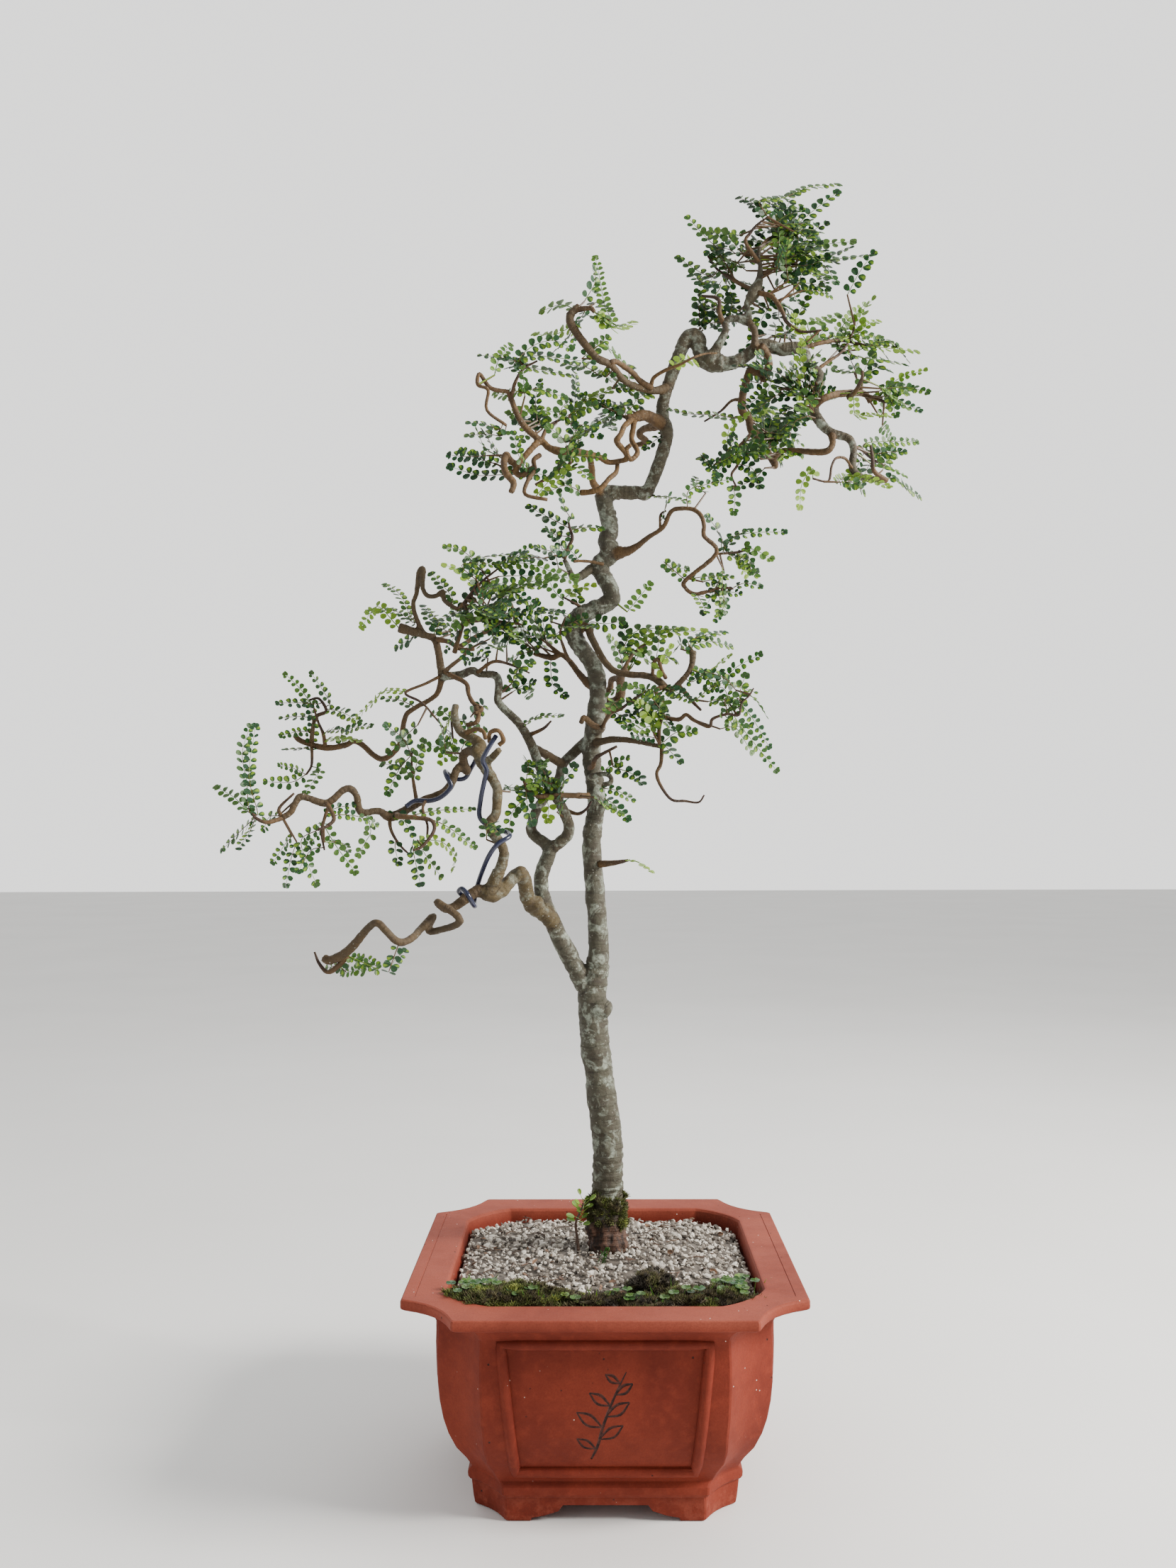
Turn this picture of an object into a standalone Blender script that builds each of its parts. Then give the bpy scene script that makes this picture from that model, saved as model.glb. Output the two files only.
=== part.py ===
"""A contorted small-leaved tree grown as a bonsai in a square clay pot with scooped corners.

Units are metres with +Z up.  The pot's feet stand on Z = 0.  Routes and sizes are written in
millimetres from the pot's own centre, with height zero on the top face of the rim, because that is
how a pot and a tree are measured on a bench.  MM turns them into metres.
"""

import math

import bmesh
import bpy
from mathutils import Matrix, Vector

MM = 0.001
POT_CENTRE = Vector((18, 0, 142)) * MM  # middle of the rim's top face

# Pot: half widths and corner cuts, in millimetres
POT_HEIGHT = 142
RIM_HALF = 130
RIM_CUT = 36
RIM_EDGE = 6.5
MOUTH_HALF = 103
MOUTH_CUT = 30
FLOOR_TOP = -116
BASE_UNDERSIDE = -126
FOOT_HALF = 85
FOOT_CUT = 21.5
FOOT_WIDTH = 17
DRAIN_RADIUS = 12
PANEL_DEPTH = 1.6
PANEL_TOP_HALF = 62
PANEL_FOOT_HALF = 53.5
PANEL_TOP = -26
PANEL_FOOT = -105
ARCH_OUTLINE = [(27, -131), (30, -135), (39, -138), (47, -139.5), (49, -146)]
CORNER_STEPS = 4

# Fillings
GAP = 0.3  # clearance between pieces that touch
SOIL_TOP = -21
GRAVEL_EDGE = -8
GRAVEL_CROWN = 0.5

# Tree
WOOD_LEAST_RADIUS = 1.8
WOOD_VOXEL = 1.5
WOOD_KEEP = 0.045  # share of the remeshed faces that the finished wood keeps
WIRE_RADIUS = 1.65

# Each limb is a route of (x, y, z, radius) points in millimetres, from the limb that carries it outwards.
STEMS = {
    "main_trunk": [
        (3, 11, -17, 14), (3, 12, -10, 13.8), (3, 14, 6, 12.3), (2, 15, 26, 11.2), (3, 15, 50, 10.9),
        (1, 14, 90, 10.4), (-4, 14, 135, 10.2), (-8, 13, 170, 10.4), (-5, 12, 192, 8.6), (-3, 12, 212, 7.4),
        (-5, 11, 250, 6.8), (-8, 10, 285, 6.6), (-4, 9, 320, 6.4), (-8, 8, 355, 6.4), (-6, 6, 385, 6.3),
        (-3, 5, 406, 6.2), (-11, 4, 422, 6.2), (-19, 3, 435, 6.2), (-21, 3, 443, 6.2), (-17, 2, 452, 6.2),
        (-7, 1, 457, 6), (4, 1, 461, 5.9), (7, 0, 469, 5.7), (2, 0, 480, 5.9), (-2, 0, 488, 6.1),
        (7, 0, 497, 6.6), (3, 0, 507, 6.1), (6, 0, 516, 6.2), (4, 0, 528, 5.5), (0, 0, 542, 5.4)],
    "leader": [
        (0, 0, 542, 5.2), (9, 0, 541, 4.9), (26, -1, 541, 4.6), (34, -2, 543, 4.3), (38, -2, 553, 4),
        (42, -3, 566, 4.1), (47, -5, 580, 4.5), (44, -5, 595, 4.5), (46, -6, 611, 3.9), (53, -7, 630, 3.6),
        (59, -8, 647, 3.3), (65, -9, 653, 3.1), (70, -9, 650, 3.3), (71, -9, 642, 3.8), (74, -10, 635, 5.2),
        (81, -10, 632, 5), (94, -11, 632, 3.6), (104, -11, 637, 3.4), (114, -12, 645, 3.3), (129, -13, 641, 4.1),
        (143, -14, 641, 3.6), (148, -15, 629, 3.1), (155, -16, 621, 3.7), (154, -16, 609, 3.5), (151, -17, 597, 3.1),
        (154, -18, 588, 3.4), (162, -19, 579, 2.9), (175, -20, 574, 2.6), (178, -21, 565, 2.3), (177, -22, 552, 2.6),
        (184, -23, 545, 2.2), (200, -24, 543, 2)],
    "left_stem": [
        (-2, 12, 168, 7), (-14, 11, 189, 6.9), (-22, 9, 202, 6.6), (-32, 5, 226, 6.2), (-41, 1, 246, 5.4),
        (-44, -1, 254, 5), (-41, -3, 268, 4.9), (-37, -5, 285, 4.9)],
    "fork_right_arm": [
        (-37, -5, 285, 4.4), (-30, -7, 289, 4), (-24, -8, 296, 3.9), (-25, -10, 304, 3.7), (-30, -12, 316, 3.5),
        (-42, -11, 336, 3.3), (-51, -9, 359, 3.2), (-59, -7, 373, 2.9), (-71, -4, 385, 2.6), (-75, -4, 391, 2.5),
        (-74, -2, 402, 2.6), (-77, -1, 409, 2.6), (-88, 1, 410, 2.3), (-94, 2, 413, 2.6), (-102, 4, 410, 2.8),
        (-116, 6, 409, 2.9)],
    "fork_left_arm": [
        (-37, -5, 285, 4.2), (-44, -2, 289, 3.7), (-50, 1, 295, 3.7), (-51, 3, 301, 3.5), (-46, 7, 315, 3.3),
        (-39, 9, 325, 3.1), (-33, 11, 332, 3.1), (-29, 13, 345, 3.3), (-23, 14, 352, 3.6), (-8, 13, 365, 3.8)],
    "cross_link": [(-28, 12, 345, 3.1), (-36, 6, 350, 2.8), (-43, 1, 354, 2.7), (-50, -5, 357, 2.8)],
    "stub_limb": [
        (-116, 6, 409, 2.7), (-118, 4, 420, 2.4), (-120, 1, 434, 2.4), (-128, -1, 438, 2.3), (-139, -3, 441, 2.8),
        (-146, -5, 443, 3.5)],
    "far_left_limb": [
        (-116, 6, 409, 2.4), (-119, 8, 403, 1.8), (-121, 11, 396, 1.7), (-130, 15, 391, 1.6), (-138, 18, 387, 1.7),
        (-145, 22, 381, 1.8), (-147, 26, 372, 1.8), (-150, 29, 362, 1.8), (-157, 33, 354, 1.9), (-164, 36, 351, 2.1),
        (-171, 38, 354, 2), (-180, 41, 362, 2), (-187, 42, 365, 2), (-193, 43, 362, 2), (-208, 43, 360, 2.2),
        (-216, 42, 363, 2.1), (-226, 41, 365, 1.9), (-231, 40, 370, 1.8)],
    "wired_arch": [
        (-37, 0, 233, 5.8), (-43, -3, 239, 5.6), (-49, -9, 243, 5.3), (-53, -15, 250, 5), (-54, -20, 257, 4.9),
        (-55, -26, 264, 4.8), (-58, -30, 267, 4.7), (-63, -34, 264, 4.6), (-69, -40, 257, 4.6), (-75, -44, 253, 4.8),
        (-80, -46, 255, 4.9)],
    "wired_upright": [
        (-78, -45, 254, 5), (-76, -46, 261, 4.5), (-72, -48, 269, 3.8), (-68, -49, 276, 3.5), (-67, -50, 281, 3.3),
        (-70, -49, 288, 3.3), (-76, -48, 297, 3.2), (-77, -48, 303, 3.2), (-73, -47, 308, 3.2), (-72, -46, 320, 3.2),
        (-73, -44, 328, 3.2), (-78, -42, 336, 3.6), (-83, -40, 344, 4)],
    "wired_prong": [(-83, -40, 344, 3), (-77, -44, 346, 2.4), (-73, -48, 349, 2.2), (-70, -52, 352, 2)],
    "wired_top": [
        (-83, -40, 344, 3.8), (-87, -35, 352, 3.4), (-84, -32, 356, 3.6), (-91, -28, 362, 3.2), (-100, -25, 367, 2.7),
        (-103, -30, 378, 2.5), (-102, -28, 385, 2.2)],
    "wired_back": [
        (-85, -37, 349, 3.1), (-93, -24, 353, 3), (-98, -18, 350, 2.8), (-98, -14, 345, 2.8), (-96, -11, 339, 2.7),
        (-102, -14, 342, 2.6), (-104, -15, 335, 2.7), (-108, -17, 328, 2.8), (-116, -19, 322, 2.7), (-127, -22, 318, 2.6),
        (-140, -27, 310, 2.8), (-146, -29, 307, 3.2), (-155, -33, 311, 2.2), (-163, -35, 311, 2.1), (-167, -36, 310, 2.4),
        (-169, -39, 321, 2.2), (-173, -41, 326, 2.3), (-178, -42, 325, 2.2), (-184, -44, 319, 2.3), (-190, -45, 316, 2.4),
        (-202, -47, 320, 2.1), (-207, -48, 320, 2.1), (-212, -49, 310, 2), (-218, -50, 306, 1.9)],
    "low_left_limb": [
        (-78, -45, 254, 4.6), (-86, -46, 256, 4), (-93, -48, 251, 3.4), (-102, -52, 245, 2.8), (-108, -54, 246, 2.8),
        (-111, -56, 249, 2.4), (-107, -58, 245, 2.3), (-101, -60, 241, 2.3), (-95, -62, 237, 2.3), (-100, -58, 234, 2.2),
        (-108, -52, 231, 2.2), (-115, -47, 229, 2.1), (-119, -46, 231, 2.2), (-116, -41, 239, 2.3), (-119, -46, 236, 2.2),
        (-123, -54, 231, 2.3), (-127, -67, 226, 2.3), (-134, -75, 224, 2.3), (-141, -80, 231, 2.2), (-148, -78, 237, 2.3),
        (-155, -74, 233, 2.3), (-162, -69, 225, 2.6), (-169, -65, 218, 2.9), (-176, -63, 214, 2.9), (-182, -61, 211, 2.7),
        (-187, -60, 213, 2.5)],
    "low_right_branch": [
        (-8, 6, 360, 3), (0, -2, 361, 2.4), (8, -7, 362, 2.2), (22, -20, 360, 1.8), (41, -31, 355, 1.5)],
    "right_loop_branch": [
        (-15, 2, 445, 3), (-9, -2, 442, 2.7), (-8, -5, 436, 2.5), (-4, -10, 429, 2.3), (2, -16, 418, 2.3),
        (7, -20, 410, 2.2), (15, -22, 408, 2.3), (31, -26, 405, 2.2), (38, -27, 402, 2.5), (45, -29, 396, 2.3),
        (50, -30, 396, 1.9), (55, -30, 401, 1.8), (61, -31, 409, 1.8), (63, -32, 418, 2.4), (63, -32, 422, 2.6)],
    "right_rising_limb": [
        (-5, 7, 373, 4), (0, 13, 380, 4), (6, 19, 386, 4), (12, 22, 393, 3.6), (14, 15, 401, 3.3),
        (13, 2, 406, 2.9), (15, -12, 410, 2.4), (16, -20, 409, 2.2)],
    "right_back_loop": [
        (12, 20, 393, 2.5), (4, 31, 393, 2.4), (2, 34, 397, 2.2), (6, 30, 403, 2.2), (7, 21, 408, 2.1), (13, 8, 408, 2.1)],
    "right_bough": [
        (5, 0, 496, 6), (14, -5, 498, 4.2), (21, -8, 498, 2.7), (33, -16, 505, 1.6), (43, -25, 510, 1.5),
        (48, -33, 519, 1.5), (55, -37, 520, 1.4), (63, -39, 519, 1.4), (68, -42, 514, 1.4), (70, -45, 506, 1.4),
        (70, -44, 499, 1.4), (79, -41, 488, 1.4), (69, -37, 479, 1.4), (58, -32, 471, 1.4), (58, -30, 466, 1.3),
        (64, -29, 462, 1.3), (74, -27, 464, 1.3)],
    "upper_left_branch": [
        (48, -7, 616, 3.3), (44, -10, 613, 3), (36, -17, 610, 2.4), (29, -23, 610, 2.2), (17, -32, 611, 2.1),
        (7, -42, 619, 2.2), (0, -46, 621, 2.5), (-6, -47, 625, 2.5), (-12, -49, 633, 2.4), (-18, -50, 641, 2.6),
        (-22, -51, 647, 2.7), (-19, -52, 653, 2.3), (-15, -52, 657, 2.2)],
    "elbow_left": [
        (45, -5, 589, 4.6), (38, -11, 590, 4.3), (33, -16, 592, 3.8), (27, -20, 591, 3.6), (21, -23, 588, 2.9),
        (17, -25, 589, 2)],
    "elbow_back": [
        (44, -6, 589, 3.4), (38, 2, 591, 2.8), (31, 13, 592, 2.4), (28, 18, 589, 2.2), (34, 24, 586, 2),
        (25, 30, 585, 1.8)],
    "ochre_ring": [
        (22, -24, 587, 1.9), (16, -32, 580, 1.8), (13, -40, 571, 1.8), (10, -39, 567, 1.9), (15, -38, 561, 1.8),
        (18, -35, 556, 1.7), (11, -31, 555, 1.7), (4, -33, 554, 1.8), (-2, -35, 557, 2), (-17, -40, 559, 2.6),
        (-28, -41, 559, 2.9), (-37, -41, 562, 2.1), (-42, -40, 567, 2.2), (-49, -44, 560, 2), (-58, -48, 547, 2.2),
        (-59, -49, 542, 1.9), (-54, -50, 540, 1.8), (-47, -50, 546, 1.7)],
    "ochre_post": [
        (2, 1, 539, 3.2), (-2, -7, 542, 2.5), (-6, -12, 545, 2.4), (-7, -20, 552, 2.2), (-8, -29, 557, 2.1),
        (-10, -37, 559, 2)],
    "upper_left_rise": [
        (-42, -40, 567, 2), (-50, -42, 573, 2.1), (-57, -45, 581, 2), (-61, -47, 589, 2), (-64, -50, 598, 1.7)],
    "upper_left_arch": [
        (-57, -47, 548, 1.7), (-62, -53, 549, 2), (-65, -61, 551, 2.3), (-66, -67, 543, 2.1), (-64, -71, 535, 2.2),
        (-59, -71, 529, 2), (-61, -72, 522, 1.8)],
    "trunk_crook": [
        (-2, 1, 489, 2.8), (-8, -2, 486, 2.8), (-13, -5, 481, 3), (-20, -10, 477, 2.3), (-24, -14, 484, 1.7),
        (-27, -15, 490, 1.5)],
    "crown_riser": [
        (79, -13, 636, 3.6), (84, -16, 644, 2.9), (88, -18, 651, 2.5), (89, -18, 660, 2), (97, -19, 661, 2.3),
        (104, -19, 659, 2.8), (105, -19, 666, 1.8), (104, -18, 672, 2.2), (109, -18, 680, 4.3), (113, -16, 690, 2.6),
        (114, -15, 700, 1.6), (113, -13, 708, 1.5), (114, -12, 716, 1.4)],
    "crown_post": [(109, -16, 642, 2.3), (109, -19, 652, 2.2), (105, -20, 658, 2.2)],
    "crown_drop": [
        (113, -18, 641, 2.8), (119, -16, 634, 2.6), (119, -12, 626, 2.7), (117, -9, 621, 2.4), (111, -5, 628, 2.7),
        (107, -3, 629, 2.7), (104, 2, 616, 2.7), (102, 6, 606, 2.7), (108, 9, 598, 2.6), (110, 9, 588, 2.5),
        (117, 7, 577, 2.6), (125, 6, 566, 2.7), (126, 5, 560, 1.8)],
    "right_cross_upper": [
        (151, -18, 598, 2.4), (157, -22, 602, 2.3), (168, -14, 608, 2.4), (180, -4, 612, 2.5), (191, 5, 615, 2.1),
        (197, 10, 610, 1.5)],
    "right_cross_lower": [
        (163, -20, 577, 2.4), (162, -26, 567, 2), (155, -24, 563, 2.2), (143, -17, 566, 1.9), (131, -9, 569, 1.7),
        (125, 2, 566, 1.7)],
    "centre_left_branch": [
        (-9, 7, 402, 3), (-17, 14, 412, 2.2), (-25, 19, 423, 1.9), (-31, 22, 427, 1.8), (-37, 25, 425, 2),
        (-43, 27, 426, 1.9), (-51, 30, 429, 1.5)],
    "hook_loop": [
        (-120, 0, 435, 2), (-129, 0, 440, 1.7), (-133, -5, 449, 1.5), (-135, -9, 457, 1.5), (-132, -13, 466, 1.5),
        (-130, -14, 480, 2), (-127, -15, 483, 1.9), (-127, -18, 469, 1.5), (-123, -19, 463, 1.5), (-117, -20, 463, 1.5),
        (-112, -21, 466, 1.6), (-111, -23, 459, 1.5), (-101, -25, 452, 1.4)],
    "trunk_coil": [
        (-9, 6, 335, 2.6), (-7, -5, 336, 1.8), (2, -14, 337, 1.6), (6, -17, 334, 1.5), (5, -20, 330, 1.5),
        (0, -19, 330, 1.5)],
}

# Leaf sprays: name, centre and half sizes in millimetres
SPRAYS = {
    "crown_top_leaves": ((143, 4, 742), (44, 13, 26)),
    "crown_right_leaves": ((157, -26, 701), (34, 13, 20)),
    "crown_left_leaves": ((86, 10, 715), (23, 13, 30)),
    "crown_inner_leaves": ((83, 8, 668), (18, 12, 16)),
    "crown_middle_leaves": ((134, 3, 668), (19, 12, 14)),
    "right_tip_upper_leaves": ((194, 4, 655), (38, 13, 20)),
    "right_tip_middle_leaves": ((212, -26, 607), (24, 12, 20)),
    "right_tip_lower_leaves": ((206, 8, 560), (27, 14, 23)),
    "right_hanging_leaf": ((178, -46, 536), (17, 8, 9)),
    "right_front_leaves": ((130, -44, 600), (36, 13, 30)),
    "right_back_leaves": ((132, 38, 592), (34, 13, 26)),
    "right_lower_leaves": ((102, -24, 556), (30, 12, 14)),
    "upper_left_tall_leaf": ((3, -28, 674), (14, 9, 26)),
    "upper_left_inner_leaves": ((-4, -4, 606), (22, 12, 16)),
    "upper_pad_top_leaves": ((-46, -52, 618), (30, 12, 13)),
    "upper_pad_middle_leaves": ((-26, -20, 589), (30, 13, 13)),
    "upper_pad_left_leaves": ((-90, -54, 556), (17, 10, 16)),
    "upper_pad_lower_leaves": ((-22, -58, 540), (17, 10, 13)),
    "trunk_crook_leaves": ((-22, -18, 514), (11, 8, 14)),
    "left_pad_top_leaves": ((-62, -26, 483), (42, 13, 14)),
    "left_pad_front_leaves": ((-72, -42, 440), (34, 14, 20)),
    "left_pad_back_leaves": ((-72, 30, 450), (42, 14, 20)),
    "left_pad_right_leaves": ((-24, -22, 448), (11, 9, 17)),
    "left_pad_lower_leaves": ((-50, 2, 408), (16, 11, 12)),
    "far_left_upper_leaves": ((-212, 20, 384), (26, 13, 29)),
    "far_left_rising_leaf": ((-240, -20, 346), (12, 9, 23)),
    "far_left_arching_leaf": ((-257, -34, 322), (15, 8, 9)),
    "far_left_lower_leaves": ((-242, -36, 291), (16, 9, 11)),
    "low_left_leaves": ((-192, -42, 277), (20, 10, 23)),
    "low_centre_leaves": ((-135, -36, 280), (32, 12, 20)),
    "wired_limb_inner_leaves": ((-106, 10, 364), (14, 11, 21)),
    "wired_limb_outer_leaves": ((-134, -20, 354), (15, 10, 17)),
    "wired_limb_hanging_leaves": ((-96, -46, 298), (12, 9, 13)),
    "fork_leaves": ((-46, -30, 322), (20, 10, 20)),
    "trunk_low_leaves": ((12, -26, 322), (11, 8, 14)),
    "right_twig_front_leaves": ((26, -42, 378), (20, 9, 12)),
    "right_twig_top_leaves": ((38, -4, 432), (30, 11, 14)),
    "right_far_leaves": ((86, -46, 392), (26, 12, 18)),
    "right_far_hanging_leaves": ((98, -52, 354), (16, 9, 19)),
    "right_bough_leaves": ((104, -40, 494), (22, 10, 11)),
    "right_bough_lower_leaves": ((92, -30, 466), (17, 8, 16)),
}


def clear_scene():
    """Removes whatever the scene starts with."""
    for obj in list(bpy.data.objects):
        bpy.data.objects.remove(obj, do_unlink=True)


def finish_material(name, colour, roughness, metallic=0.0):
    """A Principled material of one colour."""
    material = bpy.data.materials.new(name)
    material.use_nodes = True
    shader = material.node_tree.nodes["Principled BSDF"]
    shader.inputs["Base Color"].default_value = (*colour, 1)
    shader.inputs["Roughness"].default_value = roughness
    shader.inputs["Metallic"].default_value = metallic
    return material


def place(name, mesh, material, smooth=False):
    """Makes an object of a mesh, standing at the pot's centre."""
    mesh.materials.append(material)
    if smooth:
        mesh.shade_smooth()
    obj = bpy.data.objects.new(name, mesh)
    bpy.context.scene.collection.objects.link(obj)
    obj.parent = bpy.data.objects["pot_centre"]
    return obj


def mesh_from(bm, name):
    """Turns a bmesh in millimetres into a mesh in metres, with its faces pointing out."""
    bmesh.ops.recalc_face_normals(bm, faces=bm.faces)
    bmesh.ops.scale(bm, vec=(MM, MM, MM), verts=bm.verts)
    mesh = bpy.data.meshes.new(name)
    bm.to_mesh(mesh)
    bm.free()
    return mesh


def cutter(name, mesh):
    """A hidden helper that a Boolean takes away or adds."""
    obj = bpy.data.objects.new(name, mesh)
    bpy.context.scene.collection.objects.link(obj)
    obj.parent = bpy.data.objects["pot_centre"]
    obj.hide_render = True
    obj.display_type = "WIRE"
    return obj


def boolean(obj, other, operation):
    """Adds an exact Boolean to an object."""
    modifier = obj.modifiers.new(other.name, "BOOLEAN")
    modifier.operation = operation
    modifier.object = other
    modifier.solver = "EXACT"


def scooped_square(half, cut, scoop, height):
    """The outline of a square whose four corners are cut by a shallow arc, scooped in by scoop."""
    points = []
    for quarter in range(4):
        turn = Matrix.Rotation(quarter * math.pi / 2, 3, "Z")
        start = Vector((half, half - cut, height))
        end = Vector((half - cut, half, height))
        inward = Vector((-1, -1, 0)).normalized()
        for step in range(CORNER_STEPS + 1):
            t = step / CORNER_STEPS
            point = start.lerp(end, t) + inward * scoop * 4 * t * (1 - t)
            points.append(turn @ point)
    return points


def loft(rings):
    """A closed body through a stack of outlines, capped at both ends."""
    bm = bmesh.new()
    loops = []
    for ring in rings:
        verts = [bm.verts.new(point) for point in ring]
        loops.append([bm.edges.new((a, b)) for a, b in zip(verts, verts[1:] + verts[:1])])
    for low, high in zip(loops, loops[1:]):
        bmesh.ops.bridge_loops(bm, edges=low + high)
    bmesh.ops.contextual_create(bm, geom=loops[0])
    bmesh.ops.contextual_create(bm, geom=loops[-1])
    return bm


def pot_outer_rings(inset=0.0):
    """The outside of the pot wall from its base to just under the rim."""
    profile = [
        (88, 24, 2.5, BASE_UNDERSIDE), (89.5, 24, 2.5, -123), (89.5, 24, 2.5, -119), (87, 19, 2, -115),
        (96.5, 22, 2.5, -101), (104.5, 28, 3, -82), (108, 30, 3, -58), (108.5, 30, 3, -38),
        (108, 30, 3, -24), (110, 31, 4, -17), (117, 33, 5, -11),
    ]
    return [scooped_square(half - inset, cut, scoop, z) for half, cut, scoop, z in profile]


def pot_body():
    """The pot's wall, rim and floor without its feet."""
    rim = [
        (125, 35, 6, -8), (RIM_HALF, RIM_CUT, 7, -RIM_EDGE), (RIM_HALF, RIM_CUT, 7, -0.8),
        (RIM_HALF - 0.8, RIM_CUT, 7, 0), (MOUTH_HALF + 1, MOUTH_CUT, -4, 0), (MOUTH_HALF, MOUTH_CUT, -4, -1.5),
        (101, 29, -3, -24), (100, 27, -2, -60), (96, 25, -1, -84), (89, 21, 0, -100), (80, 18, 0, FLOOR_TOP),
    ]
    rings = pot_outer_rings() + [scooped_square(*step) for step in rim]
    return mesh_from(loft(rings), "pot")


def foot_band():
    """A hollow square band under the pot, which the arches divide into four feet."""
    outer = [(85, FOOT_CUT, 2.5, -POT_HEIGHT), (86, 22, 2.5, -137), (87, 23, 2.5, -129), (87.5, 24, 2.5, -125)]
    band = mesh_from(loft([scooped_square(*step) for step in outer]), "band")
    hollow_rings = [scooped_square(FOOT_HALF - FOOT_WIDTH, 14, 0, z) for z in (-POT_HEIGHT - 5, BASE_UNDERSIDE + 0.2)]
    return band, mesh_from(loft(hollow_rings), "hollow")


def arch_prism(turned):
    """A prism with the outline of the gap between two feet, running right under the pot."""
    outline = ARCH_OUTLINE + [(-x, z) for x, z in reversed(ARCH_OUTLINE)]
    bm = bmesh.new()
    face = bm.faces.new([bm.verts.new((x, -120, z)) for x, z in outline])
    walls = bmesh.ops.extrude_face_region(bm, geom=[face])["geom"]
    moved = [item for item in walls if isinstance(item, bmesh.types.BMVert)]
    bmesh.ops.translate(bm, vec=(0, 240, 0), verts=moved)
    if turned:
        bmesh.ops.rotate(bm, cent=(0, 0, 0), matrix=Matrix.Rotation(math.pi / 2, 3, "Z"), verts=bm.verts)
    return mesh_from(bm, "arch")


def panel_prism(quarter):
    """A tapering prism that marks out the sunk panel of one side."""
    bm = bmesh.new()
    outline = [
        (-PANEL_FOOT_HALF, PANEL_FOOT), (PANEL_FOOT_HALF, PANEL_FOOT),
        (PANEL_TOP_HALF, PANEL_TOP), (-PANEL_TOP_HALF, PANEL_TOP),
    ]
    face = bm.faces.new([bm.verts.new((x, -125, z)) for x, z in outline])
    walls = bmesh.ops.extrude_face_region(bm, geom=[face])["geom"]
    moved = [item for item in walls if isinstance(item, bmesh.types.BMVert)]
    bmesh.ops.translate(bm, vec=(0, 45, 0), verts=moved)
    turn = Matrix.Rotation(quarter * math.pi / 2, 3, "Z")
    bmesh.ops.rotate(bm, cent=(0, 0, 0), matrix=turn, verts=bm.verts)
    return mesh_from(bm, "panel")


def cylinder(radius, low, high, centre=(0, 0), top_radius=None, sides=24):
    """An upright cylinder or cone between two heights."""
    bm = bmesh.new()
    middle = Matrix.Translation((centre[0], centre[1], (low + high) / 2))
    bmesh.ops.create_cone(
        bm, cap_ends=True, segments=sides, radius1=radius, radius2=top_radius or radius,
        depth=high - low, matrix=middle)
    return mesh_from(bm, "cylinder")


def build_pot():
    """The fired pot: one piece of clay with four feet, a sunk panel on each side and a drain hole."""
    clay = finish_material("fired_clay", (0.42, 0.13, 0.08), 0.75)
    pot = place("pot", pot_body(), clay)
    band, hollow = foot_band()
    boolean(pot, cutter("foot_band", band), "UNION")
    boolean(pot, cutter("foot_hollow", hollow), "DIFFERENCE")
    boolean(pot, cutter("arch_front_to_back", arch_prism(False)), "DIFFERENCE")
    boolean(pot, cutter("arch_side_to_side", arch_prism(True)), "DIFFERENCE")
    core = mesh_from(loft(pot_outer_rings(PANEL_DEPTH)), "core")
    core_cutter = cutter("panel_core", core)
    for quarter in range(4):
        panel = cutter(f"panel_{quarter}", panel_prism(quarter))
        boolean(panel, core_cutter, "DIFFERENCE")
        boolean(pot, panel, "DIFFERENCE")
    boolean(pot, cutter("drain_hole", cylinder(DRAIN_RADIUS, -140, -100)), "DIFFERENCE")


def build_drain_mesh():
    """A square of plastic mesh over the drain hole."""
    plastic = finish_material("mesh_plastic", (0.02, 0.02, 0.02), 0.6)
    low = FLOOR_TOP + GAP
    bm = bmesh.new()
    bmesh.ops.create_cube(bm, size=1, matrix=Matrix.Translation((0, 0, low + 0.6)) @ Matrix.Diagonal((34, 34, 1.2, 1)))
    mesh = place("drain_mesh", mesh_from(bm, "drain_mesh"), plastic)
    holes = bmesh.new()
    for x in (-9, -3, 3, 9):
        for y in (-9, -3, 3, 9):
            place_hole = Matrix.Translation((x, y, low + 0.6)) @ Matrix.Diagonal((4, 4, 6, 1))
            bmesh.ops.create_cube(holes, size=1, matrix=place_hole)
    boolean(mesh, cutter("mesh_holes", mesh_from(holes, "mesh_holes")), "DIFFERENCE")


def tube(name, route, radius, material, resolution=2):
    """A bent round rod along a route of (x, y, z) points."""
    curve = bpy.data.curves.new(name, "CURVE")
    curve.dimensions = "3D"
    curve.bevel_depth = radius * MM
    curve.bevel_resolution = resolution
    curve.use_fill_caps = True
    spline = curve.splines.new("POLY")
    spline.points.add(len(route) - 1)
    for point, place_mm in zip(spline.points, route):
        point.co = (*(Vector(place_mm[:3]) * MM), 1)
        point.radius = place_mm[3] / radius if len(place_mm) > 3 else 1
    curve.materials.append(material)
    obj = bpy.data.objects.new(name, curve)
    bpy.context.scene.collection.objects.link(obj)
    obj.parent = bpy.data.objects["pot_centre"]
    return obj


def smooth_route(points, steps):
    """Reads a smooth curve through the points of a route, with steps places between each two."""
    ends = [points[0], *points, points[-1]]
    route = []
    for a, b, c, d in zip(ends, ends[1:], ends[2:], ends[3:]):
        for step in range(steps):
            t = step / steps
            route.append(tuple(
                0.5 * (2 * q + (r - p) * t + (2 * p - 5 * q + 4 * r - s) * t**2 + (3 * q - p - 3 * r + s) * t**3)
                for p, q, r, s in zip(a, b, c, d)))
    return route + [tuple(points[-1])]


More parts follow.
